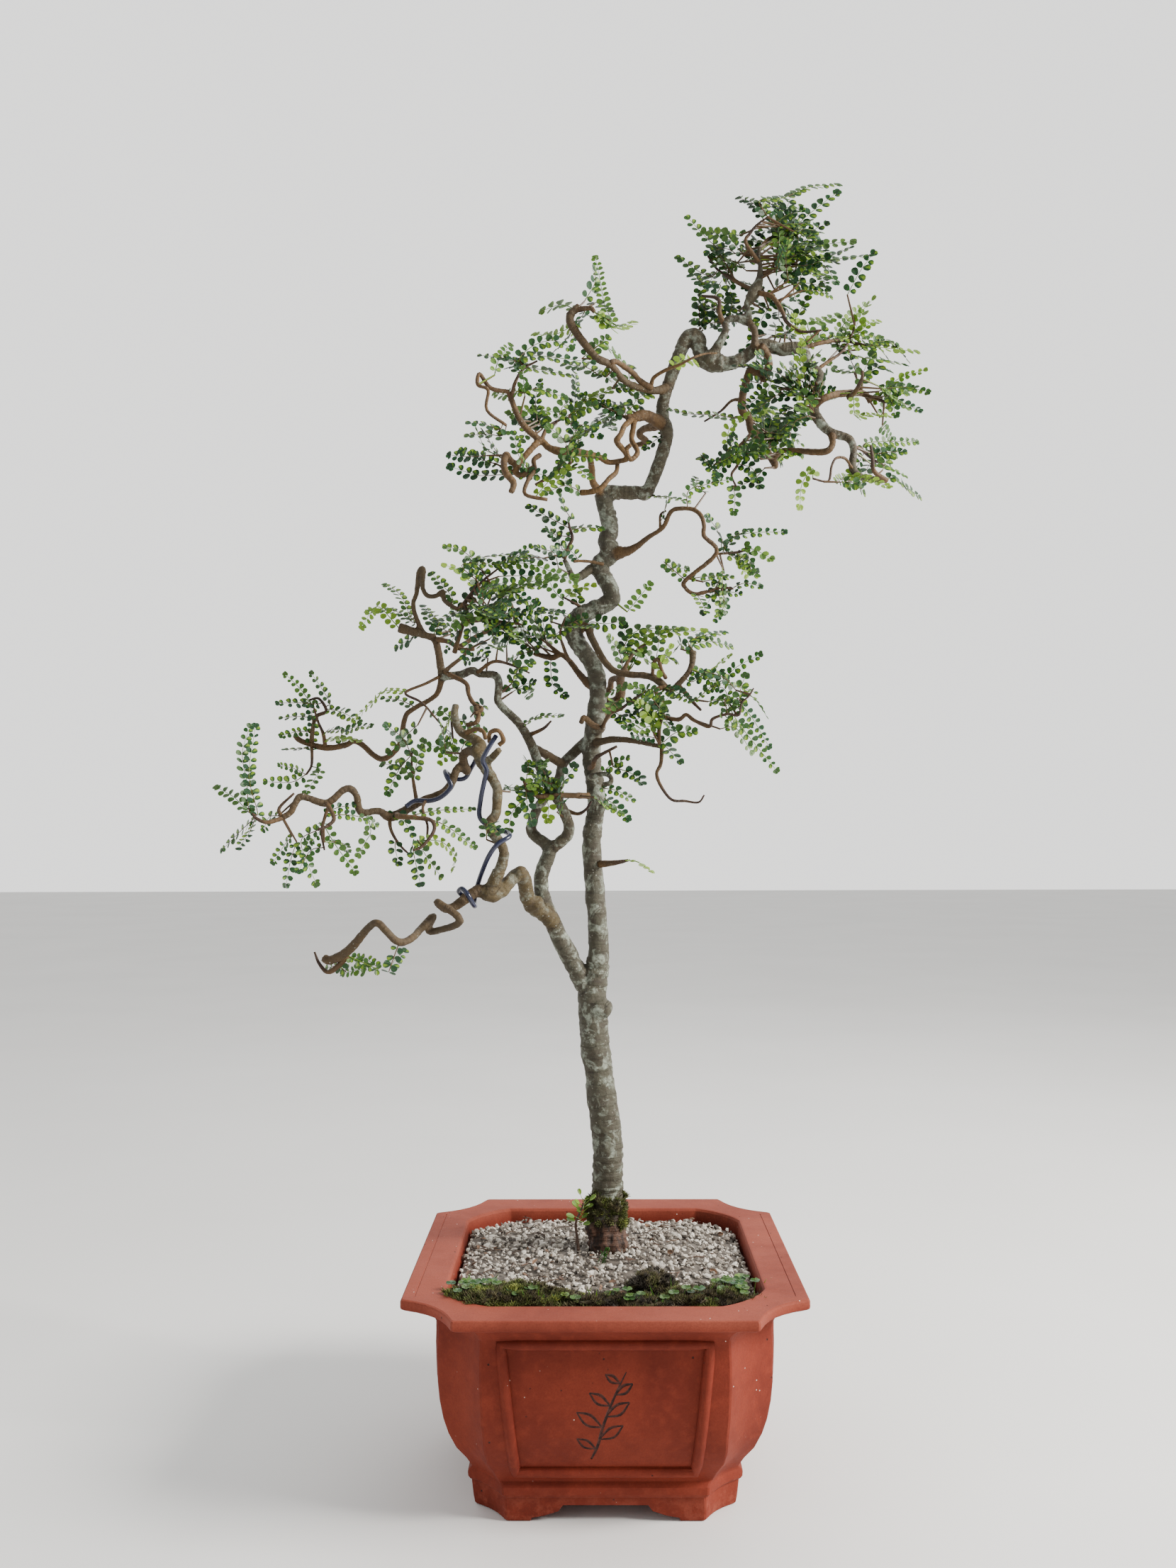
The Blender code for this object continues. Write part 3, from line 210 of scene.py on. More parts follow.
# Twigs too thin for the solids: (radius at the base, radius at the tip, route).
TWIGS: dict[str, tuple[float, float, Route]] = {
    "upper_left_strand": (1.8, 1.6, [
        (36, -22, 610), (27, -26, 614), (22, -30, 618), (11, -40, 622), (6, -45, 620)]),
    "upper_left_fork": (1.8, 1, [(-18, -52, 654), (-8, -55, 654), (-5, -56, 651)]),
    "ochre_runner": (1.3, 0.4, [
        (35, -22, 612), (37, -27, 616), (45, -36, 618), (54, -40, 620), (63, -45, 623), (72, -42, 627),
        (80, -40, 628)]),
    "ochre_ring_inner": (1.9, 1.3, [
        (23, -24, 586), (22, -26, 579), (21, -28, 571), (25, -33, 561), (20, -36, 555), (17, -38, 561),
        (20, -40, 564)]),
    "ochre_descent": (1.3, 1.8, [
        (11, -30, 555), (10, -33, 547), (5, -38, 541), (-1, -39, 534), (-8, -37, 532), (-15, -35, 532)]),
    "upper_left_drop": (1.6, 1, [
        (-43, -40, 557), (-47, -45, 552), (-46, -51, 543), (-50, -58, 535), (-52, -61, 524),
        (-37, -62, 520)]),
    "upper_left_hook": (1.4, 0.8, [
        (-64, -50, 598), (-76, -55, 599), (-83, -60, 607), (-84, -61, 599), (-77, -62, 595), (-78, -60, 582),
        (-65, -55, 573)]),
    "upper_left_lower_run": (1, 1.2, [(-46, -44, 535), (-38, -46, 539), (-23, -53, 546), (-22, -55, 552)]),
    "trunk_crook_tip": (1.4, 0.6, [
        (-27, -15, 490), (-24, -18, 497), (-21, -20, 504), (-23, -19, 512), (-24, -18, 518)]),
    "trunk_crook_arm": (1, 0.9, [(1, -6, 488), (-8, -10, 489), (-16, -17, 488), (-20, -20, 487)]),
    "crown_knuckle": (1.8, 0.7, [(89, -15, 656), (84, -21, 664), (83, -22, 674), (72, -18, 678)]),
    "crown_top_twig": (1.3, 0.4, [
        (114, -14, 703), (103, -21, 715), (106, -23, 721), (111, -26, 726), (119, -30, 730)]),
    "crown_right_twig": (1.6, 0.6, [
        (112, -20, 679), (121, -25, 674), (127, -31, 661), (129, -34, 653), (136, -40, 644), (144, -42, 642),
        (152, -45, 642)]),
    "right_cross_tip": (1.8, 0.7, [(177, -12, 606), (179, -26, 606), (180, -42, 609), (179, -48, 612)]),
    "right_tip_twig": (1.7, 0.7, [(200, -26, 542), (190, -32, 547), (188, -36, 555), (186, -40, 563)]),
    "right_hang_twig": (0.9, 0.6, [
        (176, -24, 552), (169, -36, 555), (162, -40, 554), (158, -44, 547), (155, -47, 536),
        (144, -50, 537)]),
    "far_right_twig": (1.4, 0.6, [(190, 4, 614), (198, -2, 609), (206, -8, 604), (212, -10, 606)]),
    "right_bough_spur": (0.9, 0.5, [(79, -35, 489), (84, -30, 490), (94, -30, 491), (101, -31, 492)]),
    "right_bough_tip": (1, 0.6, [(74, -27, 464), (84, -25, 467), (92, -26, 466)]),
    "right_bough_fork": (0.9, 0.5, [(41, -24, 509), (41, -27, 518), (45, -28, 521)]),
    "right_drop": (1.5, 1.2, [
        (44, -30, 397), (37, -31, 394), (40, -32, 388), (42, -32, 381), (39, -35, 367), (39, -38, 356)]),
    "right_hanging_branch": (1.3, 0.5, [
        (41, -31, 355), (40, -35, 343), (37, -37, 336), (40, -39, 327), (47, -41, 318), (56, -43, 317),
        (65, -44, 316), (69, -45, 321)]),
    "right_far_branch": (1.4, 0.4, [
        (42, -35, 375), (52, -41, 373), (57, -44, 376), (62, -47, 372), (72, -52, 367), (74, -56, 372),
        (84, -59, 375), (91, -60, 374), (93, -61, 382), (98, -62, 387), (101, -62, 392)]),
    "right_middle_twig": (1.8, 0.7, [(53, -30, 397), (58, -35, 391), (62, -40, 385), (67, -45, 379)]),
    "right_small_loop": (1, 1.3, [
        (35, -28, 405), (35, -38, 412), (38, -44, 414), (41, -36, 407), (44, -30, 403)]),
    "wired_ochre_ring": (1.2, 1.5, [
        (-77, -52, 357), (-76, -57, 363), (-70, -61, 364), (-67, -57, 358), (-70, -55, 355)]),
    "wired_ochre_runner": (1.4, 1.2, [(-95, -30, 365), (-87, -38, 367), (-82, -42, 365), (-80, -46, 360)]),
    "wired_knot": (1.8, 1.3, [(-89, -18, 384), (-87, -22, 379), (-88, -26, 373), (-95, -24, 371)]),
    "left_bridge": (1.5, 0.8, [(-114, 4, 412), (-108, -7, 415), (-98, -20, 420), (-94, -25, 424)]),
    "left_brown_riser": (1.6, 0.6, [
        (-105, -12, 424), (-98, -25, 441), (-94, -30, 448), (-96, -31, 456), (-91, -32, 463),
        (-86, -32, 470)]),
    "left_inner_twig": (1.7, 1, [(-119, -1, 435), (-109, -7, 432), (-102, -9, 427), (-91, -12, 426)]),
    "left_dropping_twig": (1.5, 1.3, [
        (-114, 4, 412), (-105, -3, 407), (-97, -7, 402), (-95, -11, 394), (-91, -15, 387), (-85, -18, 383),
        (-89, -24, 379)]),
    "left_long_runner": (1, 0.6, [
        (-117, 4, 409), (-127, -1, 403), (-141, -5, 396), (-131, -7, 390), (-125, -9, 385),
        (-121, -10, 380)]),
    "low_left_twig": (1.8, 0.7, [
        (-142, -34, 308), (-139, -44, 307), (-127, -49, 306), (-116, -52, 304), (-114, -55, 297),
        (-121, -58, 287), (-127, -60, 284)]),
    "low_left_spur": (1, 0.6, [(-123, -26, 319), (-123, -44, 312), (-119, -50, 301), (-119, -52, 293)]),
    "low_left_knot": (1.5, 0.7, [(-188, -47, 316), (-181, -57, 306), (-184, -60, 301), (-190, -64, 298)]),
    "far_left_tip": (1.4, 0.7, [(-217, -50, 306), (-226, -58, 303), (-233, -59, 306), (-235, -60, 309)]),
    "far_left_riser": (1.3, 0.6, [(-218, -50, 307), (-220, -48, 313), (-211, -44, 323)]),
    "far_left_curl": (1.6, 0.7, [
        (-218, 40, 364), (-217, 39, 373), (-214, 37, 383), (-206, 35, 387), (-211, 33, 396),
        (-218, 32, 395)]),
    "far_left_fall": (1.2, 0.6, [(-218, 40, 364), (-218, 42, 354), (-219, 44, 346), (-223, 45, 340)]),
    "low_left_end": (1.8, 0.5, [(-170, -62, 214), (-183, -58, 203), (-190, -57, 208), (-194, -55, 216)]),
    "torn_spur": (1.9, 0.7, [(-9, -2, 342), (-7, -9, 343), (-5, -16, 348), (0, -19, 351), (10, -22, 356)]),
    "torn_spur_left": (2, 1.4, [(-3, -2, 371), (-8, -9, 373), (-13, -16, 377), (-15, -20, 373)]),
    "front_runner": (1.3, 0.4, [
        (0, -2, 371), (5, -22, 379), (12, -31, 381), (21, -39, 387), (26, -42, 390), (32, -45, 393)]),
    "middle_pad_twig": (2, 1, [
        (-10, -1, 322), (-22, -10, 322), (-37, -19, 322), (-44, -22, 321), (-52, -23, 325), (-55, -24, 332)]),
    "middle_pad_loop": (1.3, 0.6, [(-27, -6, 312), (-18, -7, 309), (-12, -9, 312), (-8, -8, 318)]),
    "side_shoot": (2.2, 0.7, [(-2, 5, 273), (7, -5, 274), (13, -8, 275), (18, -9, 276)]),
    "left_stem_shoot": (1.5, 0.5, [(-53, -6, 365), (-42, -16, 369), (-36, -30, 373)]),
    "crook_shoot": (1.2, 0.5, [(-14, 3, 458), (-19, -3, 460), (-28, -8, 464)]),
    "crown_lower_twig": (1.4, 0.6, [
        (108, 3, 584), (101, -6, 575), (92, -14, 566), (84, -18, 560), (76, -20, 551)]),
    "crown_lower_fork": (1.1, 0.5, [(96, -10, 570), (97, -14, 558), (92, -18, 549), (95, -20, 540)]),
    "right_inner_twig": (1.2, 0.5, [(105, 4, 610), (96, 10, 612), (88, 16, 606), (76, 18, 599)]),
    "right_outer_twig": (1.5, 0.6, [
        (143, -14, 641), (158, -12, 646), (172, -6, 650), (186, 0, 650), (198, 2, 648)]),
    "right_upper_twig": (1.2, 0.5, [
        (152, -15, 624), (162, -12, 632), (172, -8, 640), (180, -4, 652), (184, -4, 664)]),
    "crown_left_twig": (1.4, 0.5, [
        (109, -18, 682), (100, -10, 690), (92, -4, 698), (84, 0, 706), (78, 2, 716)]),
    "crown_back_twig": (1.4, 0.5, [(112, -16, 690), (122, -10, 700), (134, -4, 706), (146, 0, 708)]),
    "crown_high_twig": (1.2, 0.5, [(114, -12, 714), (120, -6, 724), (130, 0, 732), (142, 2, 744)]),
    "left_pad_upper_twig": (1.5, 0.5, [(-101, -25, 452), (-92, -26, 462), (-84, -26, 472), (-74, -26, 480)]),
    "left_pad_middle_twig": (1.6, 0.5, [(-98, -22, 444), (-84, -30, 444), (-70, -34, 442), (-56, -34, 440)]),
    "left_pad_back_twig": (1.6, 0.5, [(-102, 0, 430), (-90, 12, 440), (-74, 20, 446), (-58, 24, 448)]),
    "left_pad_low_twig": (1.4, 0.5, [(-90, 0, 411), (-78, -6, 418), (-66, -6, 416), (-52, -4, 410)]),
    "left_pad_inner_twig": (1.3, 0.5, [(-24, 17, 421), (-28, 4, 430), (-30, -10, 438), (-26, -18, 448)]),
    "upper_pad_twig": (1.4, 0.5, [(-42, -40, 567), (-38, -34, 578), (-30, -26, 586), (-20, -22, 590)]),
    "upper_pad_high_twig": (1.4, 0.5, [(-62, -49, 592), (-60, -52, 602), (-54, -54, 612), (-44, -54, 618)]),
    "right_top_twig": (1.4, 0.5, [(15, -16, 410), (20, -12, 420), (28, -8, 428), (40, -6, 434)]),
    "right_back_twig": (1.6, 0.5, [(110, 9, 590), (118, 20, 592), (128, 30, 594), (140, 36, 596)]),
    "right_front_twig": (1.4, 0.5, [(154, -17, 604), (146, -28, 604), (136, -38, 604), (124, -42, 602)]),
    "right_tip_lower_twig": (1.4, 0.5, [(177, -20, 568), (186, -8, 570), (196, 2, 566), (206, 6, 562)]),
    "far_left_upper_twig": (1.4, 0.5, [(-208, 42, 361), (-208, 34, 370), (-210, 26, 378), (-212, 20, 388)]),
    "wired_inner_twig": (1.3, 0.5, [(-102, -27, 384), (-106, -14, 380), (-108, -2, 374), (-108, 6, 364)]),
    "wired_outer_twig": (1.4, 0.5, [(-130, -23, 317), (-132, -22, 328), (-134, -20, 340), (-134, -20, 352)]),
    "low_centre_twig": (1.3, 0.5, [(-148, -30, 308), (-146, -36, 298), (-140, -38, 288), (-132, -38, 280)]),
    "low_left_hang_twig": (1.3, 0.5, [
        (-186, -45, 317), (-190, -44, 306), (-192, -44, 296), (-190, -44, 284)]),
}


class Tint(Enum):
    """Where a leaf lies on the leaf finish's scale, which runs from dark green to lime."""

    DARK = 0.08
    BLUE = 0.3
    GREEN = 0.5
    PALE = 0.72
    LIME = 0.93


D, B, G, P, L = Tint.DARK, Tint.BLUE, Tint.GREEN, Tint.PALE, Tint.LIME

# For each spray: how many leaves fill it out, then its main leaves as (x, z) routes seen from the front.
Sprig = tuple[Tint, tuple[tuple[float, float], ...]]
LEAVES: dict[str, tuple[int, list[Sprig]]] = {
    "crown_top_leaves": (25, [
        (G, ((112, 742), (130, 748), (150, 760), (172, 766))), (B, ((133, 728), (150, 745), (172, 763))),
        (D, ((112, 735), (108, 745), (100, 752))), (D, ((114, 738), (122, 744), (126, 752)))]),
    "crown_right_leaves": (23, [
        (P, ((130, 712), (150, 716), (178, 716))), (B, ((140, 706), (160, 708), (177, 712))),
        (B, ((128, 703), (150, 703), (190, 704))), (G, ((158, 700), (160, 692), (158, 683)))]),
    "crown_left_leaves": (18, [
        (G, ((88, 718), (78, 730), (65, 746))), (G, ((80, 700), (70, 706), (58, 716))),
        (B, ((85, 685), (76, 690), (66, 700)))]),
    "crown_inner_leaves": (12, [
        (B, ((88, 660), (78, 663), (68, 669))), (G, ((80, 668), (84, 676), (92, 682)))]),
    "crown_middle_leaves": (17, [
        (P, ((148, 660), (160, 665), (172, 672))), (G, ((110, 658), (112, 650), (113, 640)))]),
    "right_tip_upper_leaves": (11, [
        (P, ((170, 655), (180, 668), (192, 680))), (G, ((165, 652), (190, 653), (215, 652))),
        (L, ((180, 646), (205, 647), (229, 646))), (B, ((185, 638), (204, 638), (221, 637)))]),
    "right_tip_middle_leaves": (7, [
        (L, ((200, 612), (215, 624), (232, 628))), (G, ((200, 612), (210, 614), (222, 615))),
        (B, ((205, 605), (214, 602), (225, 595)))]),
    "right_tip_lower_leaves": (8, [
        (G, ((190, 575), (208, 578), (228, 579))), (L, ((180, 590), (192, 594), (207, 595))),
        (G, ((190, 570), (200, 571), (213, 571))), (B, ((205, 545), (216, 543), (229, 538)))]),
    "right_hanging_leaf": (1, [
        (L, ((172, 546), (184, 541), (195, 532))), (G, ((175, 543), (168, 541), (162, 538))),
        (L, ((144, 544), (137, 534), (136, 520)))]),
    "right_front_leaves": (28, [
        (G, ((100, 598), (80, 599), (65, 598), (50, 600))), (D, ((134, 604), (122, 612), (108, 614)))]),
    "right_back_leaves": (24, [(D, ((136, 598), (124, 590), (110, 588)))]),
    "right_lower_leaves": (15, [
        (G, ((93, 540), (94, 532), (93, 522))), (B, ((70, 563), (75, 556), (80, 547)))]),
    "upper_left_tall_leaf": (2, [
        (P, ((8, 641), (2, 660), (-1, 680), (-4, 698))), (L, ((6, 641), (14, 645), (22, 652))),
        (G, ((6, 645), (-1, 649), (-9, 655))), (B, ((-12, 652), (-18, 648), (-20, 638))),
        (P, ((-18, 655), (-28, 661), (-40, 660))), (L, ((-19, 645), (-32, 642), (-46, 646))),
        (G, ((-19, 642), (-27, 635), (-35, 631))), (P, ((0, 632), (10, 629), (20, 621)))]),
    "upper_left_inner_leaves": (9, [
        (L, ((-12, 600), (5, 610), (20, 612), (35, 608))), (G, ((3, 612), (-1, 618), (-5, 624))),
        (G, ((3, 612), (8, 615), (12, 618))), (B, ((0, 598), (10, 602), (28, 603))),
        (G, ((15, 597), (5, 590), (-10, 585))), (L, ((50, 620), (58, 628), (66, 628))),
        (D, ((44, 582), (38, 577), (32, 572)))]),
    "upper_pad_top_leaves": (4, [
        (G, ((-56, 620), (-45, 629), (-32, 631), (-22, 626))), (B, ((-60, 618), (-45, 622), (-8, 618))),
        (G, ((-60, 615), (-42, 614), (-25, 612))), (D, ((-60, 618), (-72, 621), (-82, 622)))]),
    "upper_pad_middle_leaves": (10, [
        (G, ((-52, 597), (-45, 602), (-27, 598))), (P, ((-58, 598), (-66, 599), (-74, 603))),
        (P, ((-65, 583), (-50, 590), (-30, 590))), (G, ((-20, 583), (-15, 600), (0, 606))),
        (B, ((-20, 580), (-12, 579), (-2, 575)))]),
    "upper_pad_left_leaves": (4, [
        (G, ((-68, 566), (-78, 567), (-90, 566))), (B, ((-70, 570), (-79, 573), (-89, 574))),
        (B, ((-58, 541), (-72, 541), (-85, 541), (-103, 547))), (G, ((-60, 547), (-68, 549), (-77, 549)))]),
    "upper_pad_lower_leaves": (8, [
        (B, ((-56, 541), (-46, 540), (-36, 538))), (G, ((-36, 540), (-30, 543), (-24, 549))),
        (G, ((-30, 548), (-20, 552), (0, 551)))]),
    "trunk_crook_leaves": (2, [
        (G, ((-20, 510), (-12, 512), (-2, 512))), (B, ((-24, 505), (-31, 506), (-39, 509))),
        (G, ((-22, 518), (-26, 524), (-29, 532))), (L, ((-26, 464), (-18, 470), (-8, 472))),
        (P, ((-28, 462), (-34, 468), (-38, 476))), (G, ((-8, 447), (2, 445), (13, 446)))]),
    "right_bough_leaves": (3, [
        (G, ((36, 538), (47, 535), (60, 530))), (G, ((60, 532), (74, 537), (88, 540))),
        (B, ((42, 515), (44, 521), (47, 529))), (B, ((84, 498), (100, 503), (125, 503))),
        (G, ((100, 494), (102, 486), (103, 476))), (P, ((100, 494), (108, 491), (116, 486)))]),
    "right_bough_lower_leaves": (8, [
        (G, ((62, 472), (74, 473), (88, 472))), (B, ((83, 467), (86, 456), (80, 445))),
        (D, ((92, 467), (100, 470), (110, 468))), (G, ((43, 484), (50, 481), (59, 481)))]),
    "left_pad_top_leaves": (9, [
        (G, ((-88, 485), (-98, 493), (-108, 495))), (B, ((-90, 487), (-80, 489), (-68, 490))),
        (G, ((-98, 482), (-84, 484), (-70, 483))), (P, ((-72, 484), (-50, 484), (-20, 472)))]),
    "left_pad_front_leaves": (25, [
        (P, ((-72, 465), (-45, 471), (-20, 472))), (G, ((-75, 463), (-60, 466), (-42, 466))),
        (B, ((-75, 455), (-54, 458), (-30, 457))), (L, ((-96, 474), (-101, 479), (-108, 481)))]),
    "left_pad_back_leaves": (19, [
        (G, ((-105, 460), (-112, 470), (-121, 480))), (B, ((-118, 447), (-124, 455), (-131, 462))),
        (G, ((-137, 450), (-146, 468), (-158, 477))), (G, ((-136, 447), (-150, 457), (-172, 459))),
        (L, ((-160, 458), (-168, 455), (-175, 447))), (B, ((-131, 440), (-139, 437), (-149, 432)))]),
    "left_pad_right_leaves": (3, [(G, ((-35, 435), (-26, 442), (-13, 448)))]),
    "left_pad_lower_leaves": (3, [
        (G, ((-62, 420), (-60, 408), (-68, 400))), (B, ((-38, 420), (-36, 404), (-28, 396)))]),
    "far_left_upper_leaves": (2, [
        (P, ((-217, 393), (-225, 404), (-234, 413))), (G, ((-203, 393), (-208, 403), (-214, 413))),
        (B, ((-212, 392), (-222, 392), (-236, 391))), (G, ((-217, 382), (-226, 383), (-238, 382))),
        (G, ((-222, 372), (-228, 371), (-236, 368))), (B, ((-215, 360), (-224, 359), (-235, 358))),
        (G, ((-203, 388), (-192, 385), (-179, 378))), (B, ((-208, 370), (-199, 372), (-188, 371))),
        (L, ((-205, 366), (-194, 366), (-180, 364))), (G, ((-196, 370), (-184, 375), (-172, 375))),
        (L, ((-142, 397), (-157, 398), (-166, 391), (-181, 379))),
        (G, ((-137, 388), (-148, 393), (-160, 395))), (P, ((-212, 344), (-214, 336), (-218, 326))),
        (G, ((-223, 340), (-232, 334), (-248, 334))), (G, ((-223, 340), (-230, 344), (-238, 346)))]),
    "low_limb_leaves": (0, [
        (G, ((-150, 205), (-160, 211), (-173, 212))), (P, ((-158, 205), (-166, 204), (-175, 201))),
        (B, ((-141, 205), (-139, 211), (-134, 216))), (G, ((-172, 203), (-180, 206), (-188, 204)))]),
    "far_left_rising_leaf": (0, [
        (G, ((-238, 312), (-241, 330), (-246, 350), (-243, 368))),
        (B, ((-232, 310), (-240, 335), (-238, 368)))]),
    "far_left_arching_leaf": (0, [(P, ((-238, 310), (-250, 320), (-264, 327)))]),
    "far_left_lower_leaves": (1, [
        (G, ((-234, 306), (-245, 298), (-260, 285))), (B, ((-234, 305), (-240, 296), (-249, 286)))]),
    "low_left_leaves": (5, [
        (G, ((-190, 298), (-203, 292), (-203, 280), (-197, 262))),
        (P, ((-190, 300), (-183, 288), (-170, 270))), (B, ((-190, 309), (-182, 313), (-172, 315))),
        (G, ((-178, 308), (-166, 307), (-155, 302))), (P, ((-160, 297), (-163, 290), (-167, 282)))]),
    "low_centre_leaves": (2, [
        (G, ((-128, 308), (-112, 311), (-90, 312))),
        (L, ((-125, 290), (-110, 290), (-101, 280), (-103, 271))),
        (G, ((-125, 291), (-120, 280), (-112, 267))), (B, ((-128, 287), (-127, 276), (-125, 262)))]),
    "wired_limb_inner_leaves": (7, [
        (L, ((-106, 380), (-112, 372), (-118, 366))), (L, ((-108, 366), (-112, 356), (-117, 348)))]),
    "wired_limb_outer_leaves": (4, [
        (G, ((-133, 352), (-143, 340), (-150, 325))), (B, ((-134, 350), (-140, 362), (-150, 370)))]),
    "wired_limb_hanging_leaves": (1, [(G, ((-114, 304), (-104, 299), (-88, 287)))]),
    "fork_leaves": (14, [
        (G, ((-50, 322), (-62, 312), (-65, 299))), (L, ((-40, 320), (-38, 314), (-38, 306))),
        (G, ((-55, 374), (-44, 378), (-30, 378)))]),
    "trunk_low_leaves": (2, [
        (G, ((0, 327), (10, 325), (20, 319))), (B, ((-2, 322), (8, 316), (17, 306))),
        (G, ((2, 340), (8, 344), (16, 347))), (L, ((16, 276), (24, 275), (33, 269)))]),
    "right_twig_front_leaves": (16, [
        (L, ((38, 408), (42, 414), (46, 421))), (P, ((36, 410), (30, 415), (24, 418))),
        (G, ((42, 358), (50, 364), (61, 365))), (B, ((42, 357), (46, 352), (52, 345)))]),
    "right_twig_top_leaves": (8, [
        (G, ((15, 426), (26, 440), (55, 441))), (L, ((26, 428), (45, 438), (72, 440))),
        (B, ((60, 428), (72, 434), (86, 437))), (G, ((58, 424), (74, 430), (90, 428)))]),
    "right_far_leaves": (6, [
        (G, ((80, 400), (92, 409), (106, 416))), (B, ((62, 400), (70, 404), (80, 405))),
        (G, ((78, 397), (90, 396), (103, 391))), (P, ((98, 388), (104, 384), (111, 375)))]),
    "right_far_hanging_leaves": (1, [
        (G, ((82, 385), (92, 368), (116, 338))), (B, ((90, 385), (101, 372), (112, 354))),
        (P, ((80, 376), (90, 366), (100, 351)))]),
}


def bench(x: float, y: float, z: float) -> Vector:
    """Turns millimetres from the rim's middle into the frame's metres.

    Args:
        x: to the right of someone facing the front panel.
        y: away from them.
        z: above the rim's top face.

    Returns:
        The place in the frame.
    """
    return POT_MIDDLE + Vector((x, y, z)) * MM


def smooth_route(points: Route, steps: int) -> Route:
    """Puts extra points along a route so that it bends evenly.

    Args:
        points: the route's own points, with any number of values each.
        steps: how many points replace each stretch.

    Returns:
        A longer route through the same points.
    """
    known = np.array(points, float)
    padded = np.vstack([2 * known[0] - known[1], known, 2 * known[-1] - known[-2]])
    found = []
    for i in range(len(known) - 1):
        a, b, c, d = padded[i:i + 4]
        for t in np.arange(steps) / steps:
            curve = 2 * b + (c - a) * t + (2 * a - 5 * b + 4 * c - d) * t**2 + (3 * b - a - 3 * c + d) * t**3
            found.append(tuple(curve / 2))
    return found + [tuple(known[-1])]


class Graph:
    """A material's node tree while it is being wired."""

    def __init__(self, name: str) -> None:
        """Starts a tree with a surface shader and the object's own coordinates."""
        self.material = bpy.data.materials.new(name)
        self.material.use_nodes = True
        self.tree = self.material.node_tree
        self.tree.nodes.clear()
        output = self.tree.nodes.new("ShaderNodeOutputMaterial")
        self.shader = self.tree.nodes.new("ShaderNodeBsdfPrincipled")
        self.tree.links.new(self.shader.outputs[0], output.inputs[0])
        self.place = self.tree.nodes.new("ShaderNodeTexCoord").outputs["Object"]

    def feed(self, socket: Socket, value: object) -> None:
        """Links a socket to another node's, or sets its own value."""
        if isinstance(value, Socket):
            self.tree.links.new(value, socket)
        else:
            opaque = isinstance(value, tuple) and len(value) < len(socket.default_value)
            socket.default_value = (*value, 1) if opaque else value

    def node(self, kind: str, **inputs: object) -> bpy.types.ShaderNode:
        """A new node of this kind with these inputs fed."""
        node = self.tree.nodes.new("ShaderNode" + kind)
        for name, value in inputs.items():
            self.feed(node.inputs[name], value)
        return node

    def noise(self, size: float, detail: float = 4, rough: float = 0.55, warp: float = 0.0,
              at: Socket | None = None) -> Socket:
        """A cloudy value.

        Args:
            size: how wide its blotches are, in millimetres.
            detail: how many finer layers it has.
            rough: how strong those are.
            warp: how far it is stirred.
            at: the coordinates, or None for the object's own.

        Returns:
            A value around a half.
        """
        return self.node("TexNoise", Vector=at or self.place, Scale=1 / MM / size, Detail=detail,
                         Roughness=rough, Distortion=warp).outputs[0]

    def cells(self, size: float) -> Socket:
        """How far away the nearest of many points is, for cells that are size millimetres wide."""
        return self.node("TexVoronoi", Vector=self.place, Scale=1 / MM / size).outputs["Distance"]

    def stretched(self, x: float, y: float, z: float) -> Socket:
        """The object's coordinates, drawn out by these factors."""
        return self.node("Mapping", Vector=self.place, Scale=(x, y, z)).outputs[0]

    def attribute(self, name: str) -> Socket:
        """The value that each point of the mesh holds under this name."""
        node = self.node("Attribute")
        node.attribute_name = name
        return node.outputs["Fac"]

    def maths(self, what: str, a: object, b: object = 0.0, c: object = 0.0) -> Socket:
        """One sum over two or three values."""
        node = self.node("Math")
        node.operation = what
        for socket, value in zip(node.inputs, (a, b, c)):
            self.feed(socket, value)
        return node.outputs[0]

    def times(self, a: object, b: object) -> Socket:
        """Two values multiplied."""
        return self.maths("MULTIPLY", a, b)

    def span(self, value: object, low: float, high: float, start: float = 0.0,
             end: float = 1.0) -> Socket:
        """The value's way from low to high, as a smooth step from start to end."""
        node = self.node("MapRange")
        node.interpolation_type = "SMOOTHSTEP"
        for socket, given in zip(node.inputs, (value, low, high, start, end)):
            self.feed(socket, given)
        return node.outputs[0]

    def ramp(self, value: object, *stops: tuple[float, Colour]) -> Socket:
        """A colour read off a row of stops."""
        node = self.node("ValToRGB")
        self.feed(node.inputs[0], value)
        band = node.color_ramp
        while len(band.elements) < len(stops):
            band.elements.new(0.5)
        for element, (where, colour) in zip(band.elements, stops):
            element.position = where
            element.color = (*colour, 1)
        return node.outputs[0]

    def mix(self, share: object, a: object, b: object) -> Socket:
        """Two colours mixed, with that share of the second."""
        node = self.node("Mix")
        node.data_type = "RGBA"
        factor, first, second, result = 0, 6, 7, 2  # where the node keeps its colour sockets
        for index, value in ((factor, share), (first, a), (second, b)):
            self.feed(node.inputs[index], value)
        return node.outputs[result]

    def bump(self, height: object, depth: float, strength: float = 1.0,
             over: Socket | None = None) -> Socket:
        """A normal from a height that is depth millimetres from lowest to highest."""
        node = self.node("Bump", Strength=strength, Distance=depth * MM, Height=height)
        if over:
            self.feed(node.inputs["Normal"], over)
        return node.outputs[0]

    def done(self, **sockets: object) -> Material:
        """Feeds the shader's sockets, with _ for a space in a name, and gives the material."""
        for name, value in sockets.items():
            self.feed(self.shader.inputs[name.replace("_", " ")], value)
        return self.material


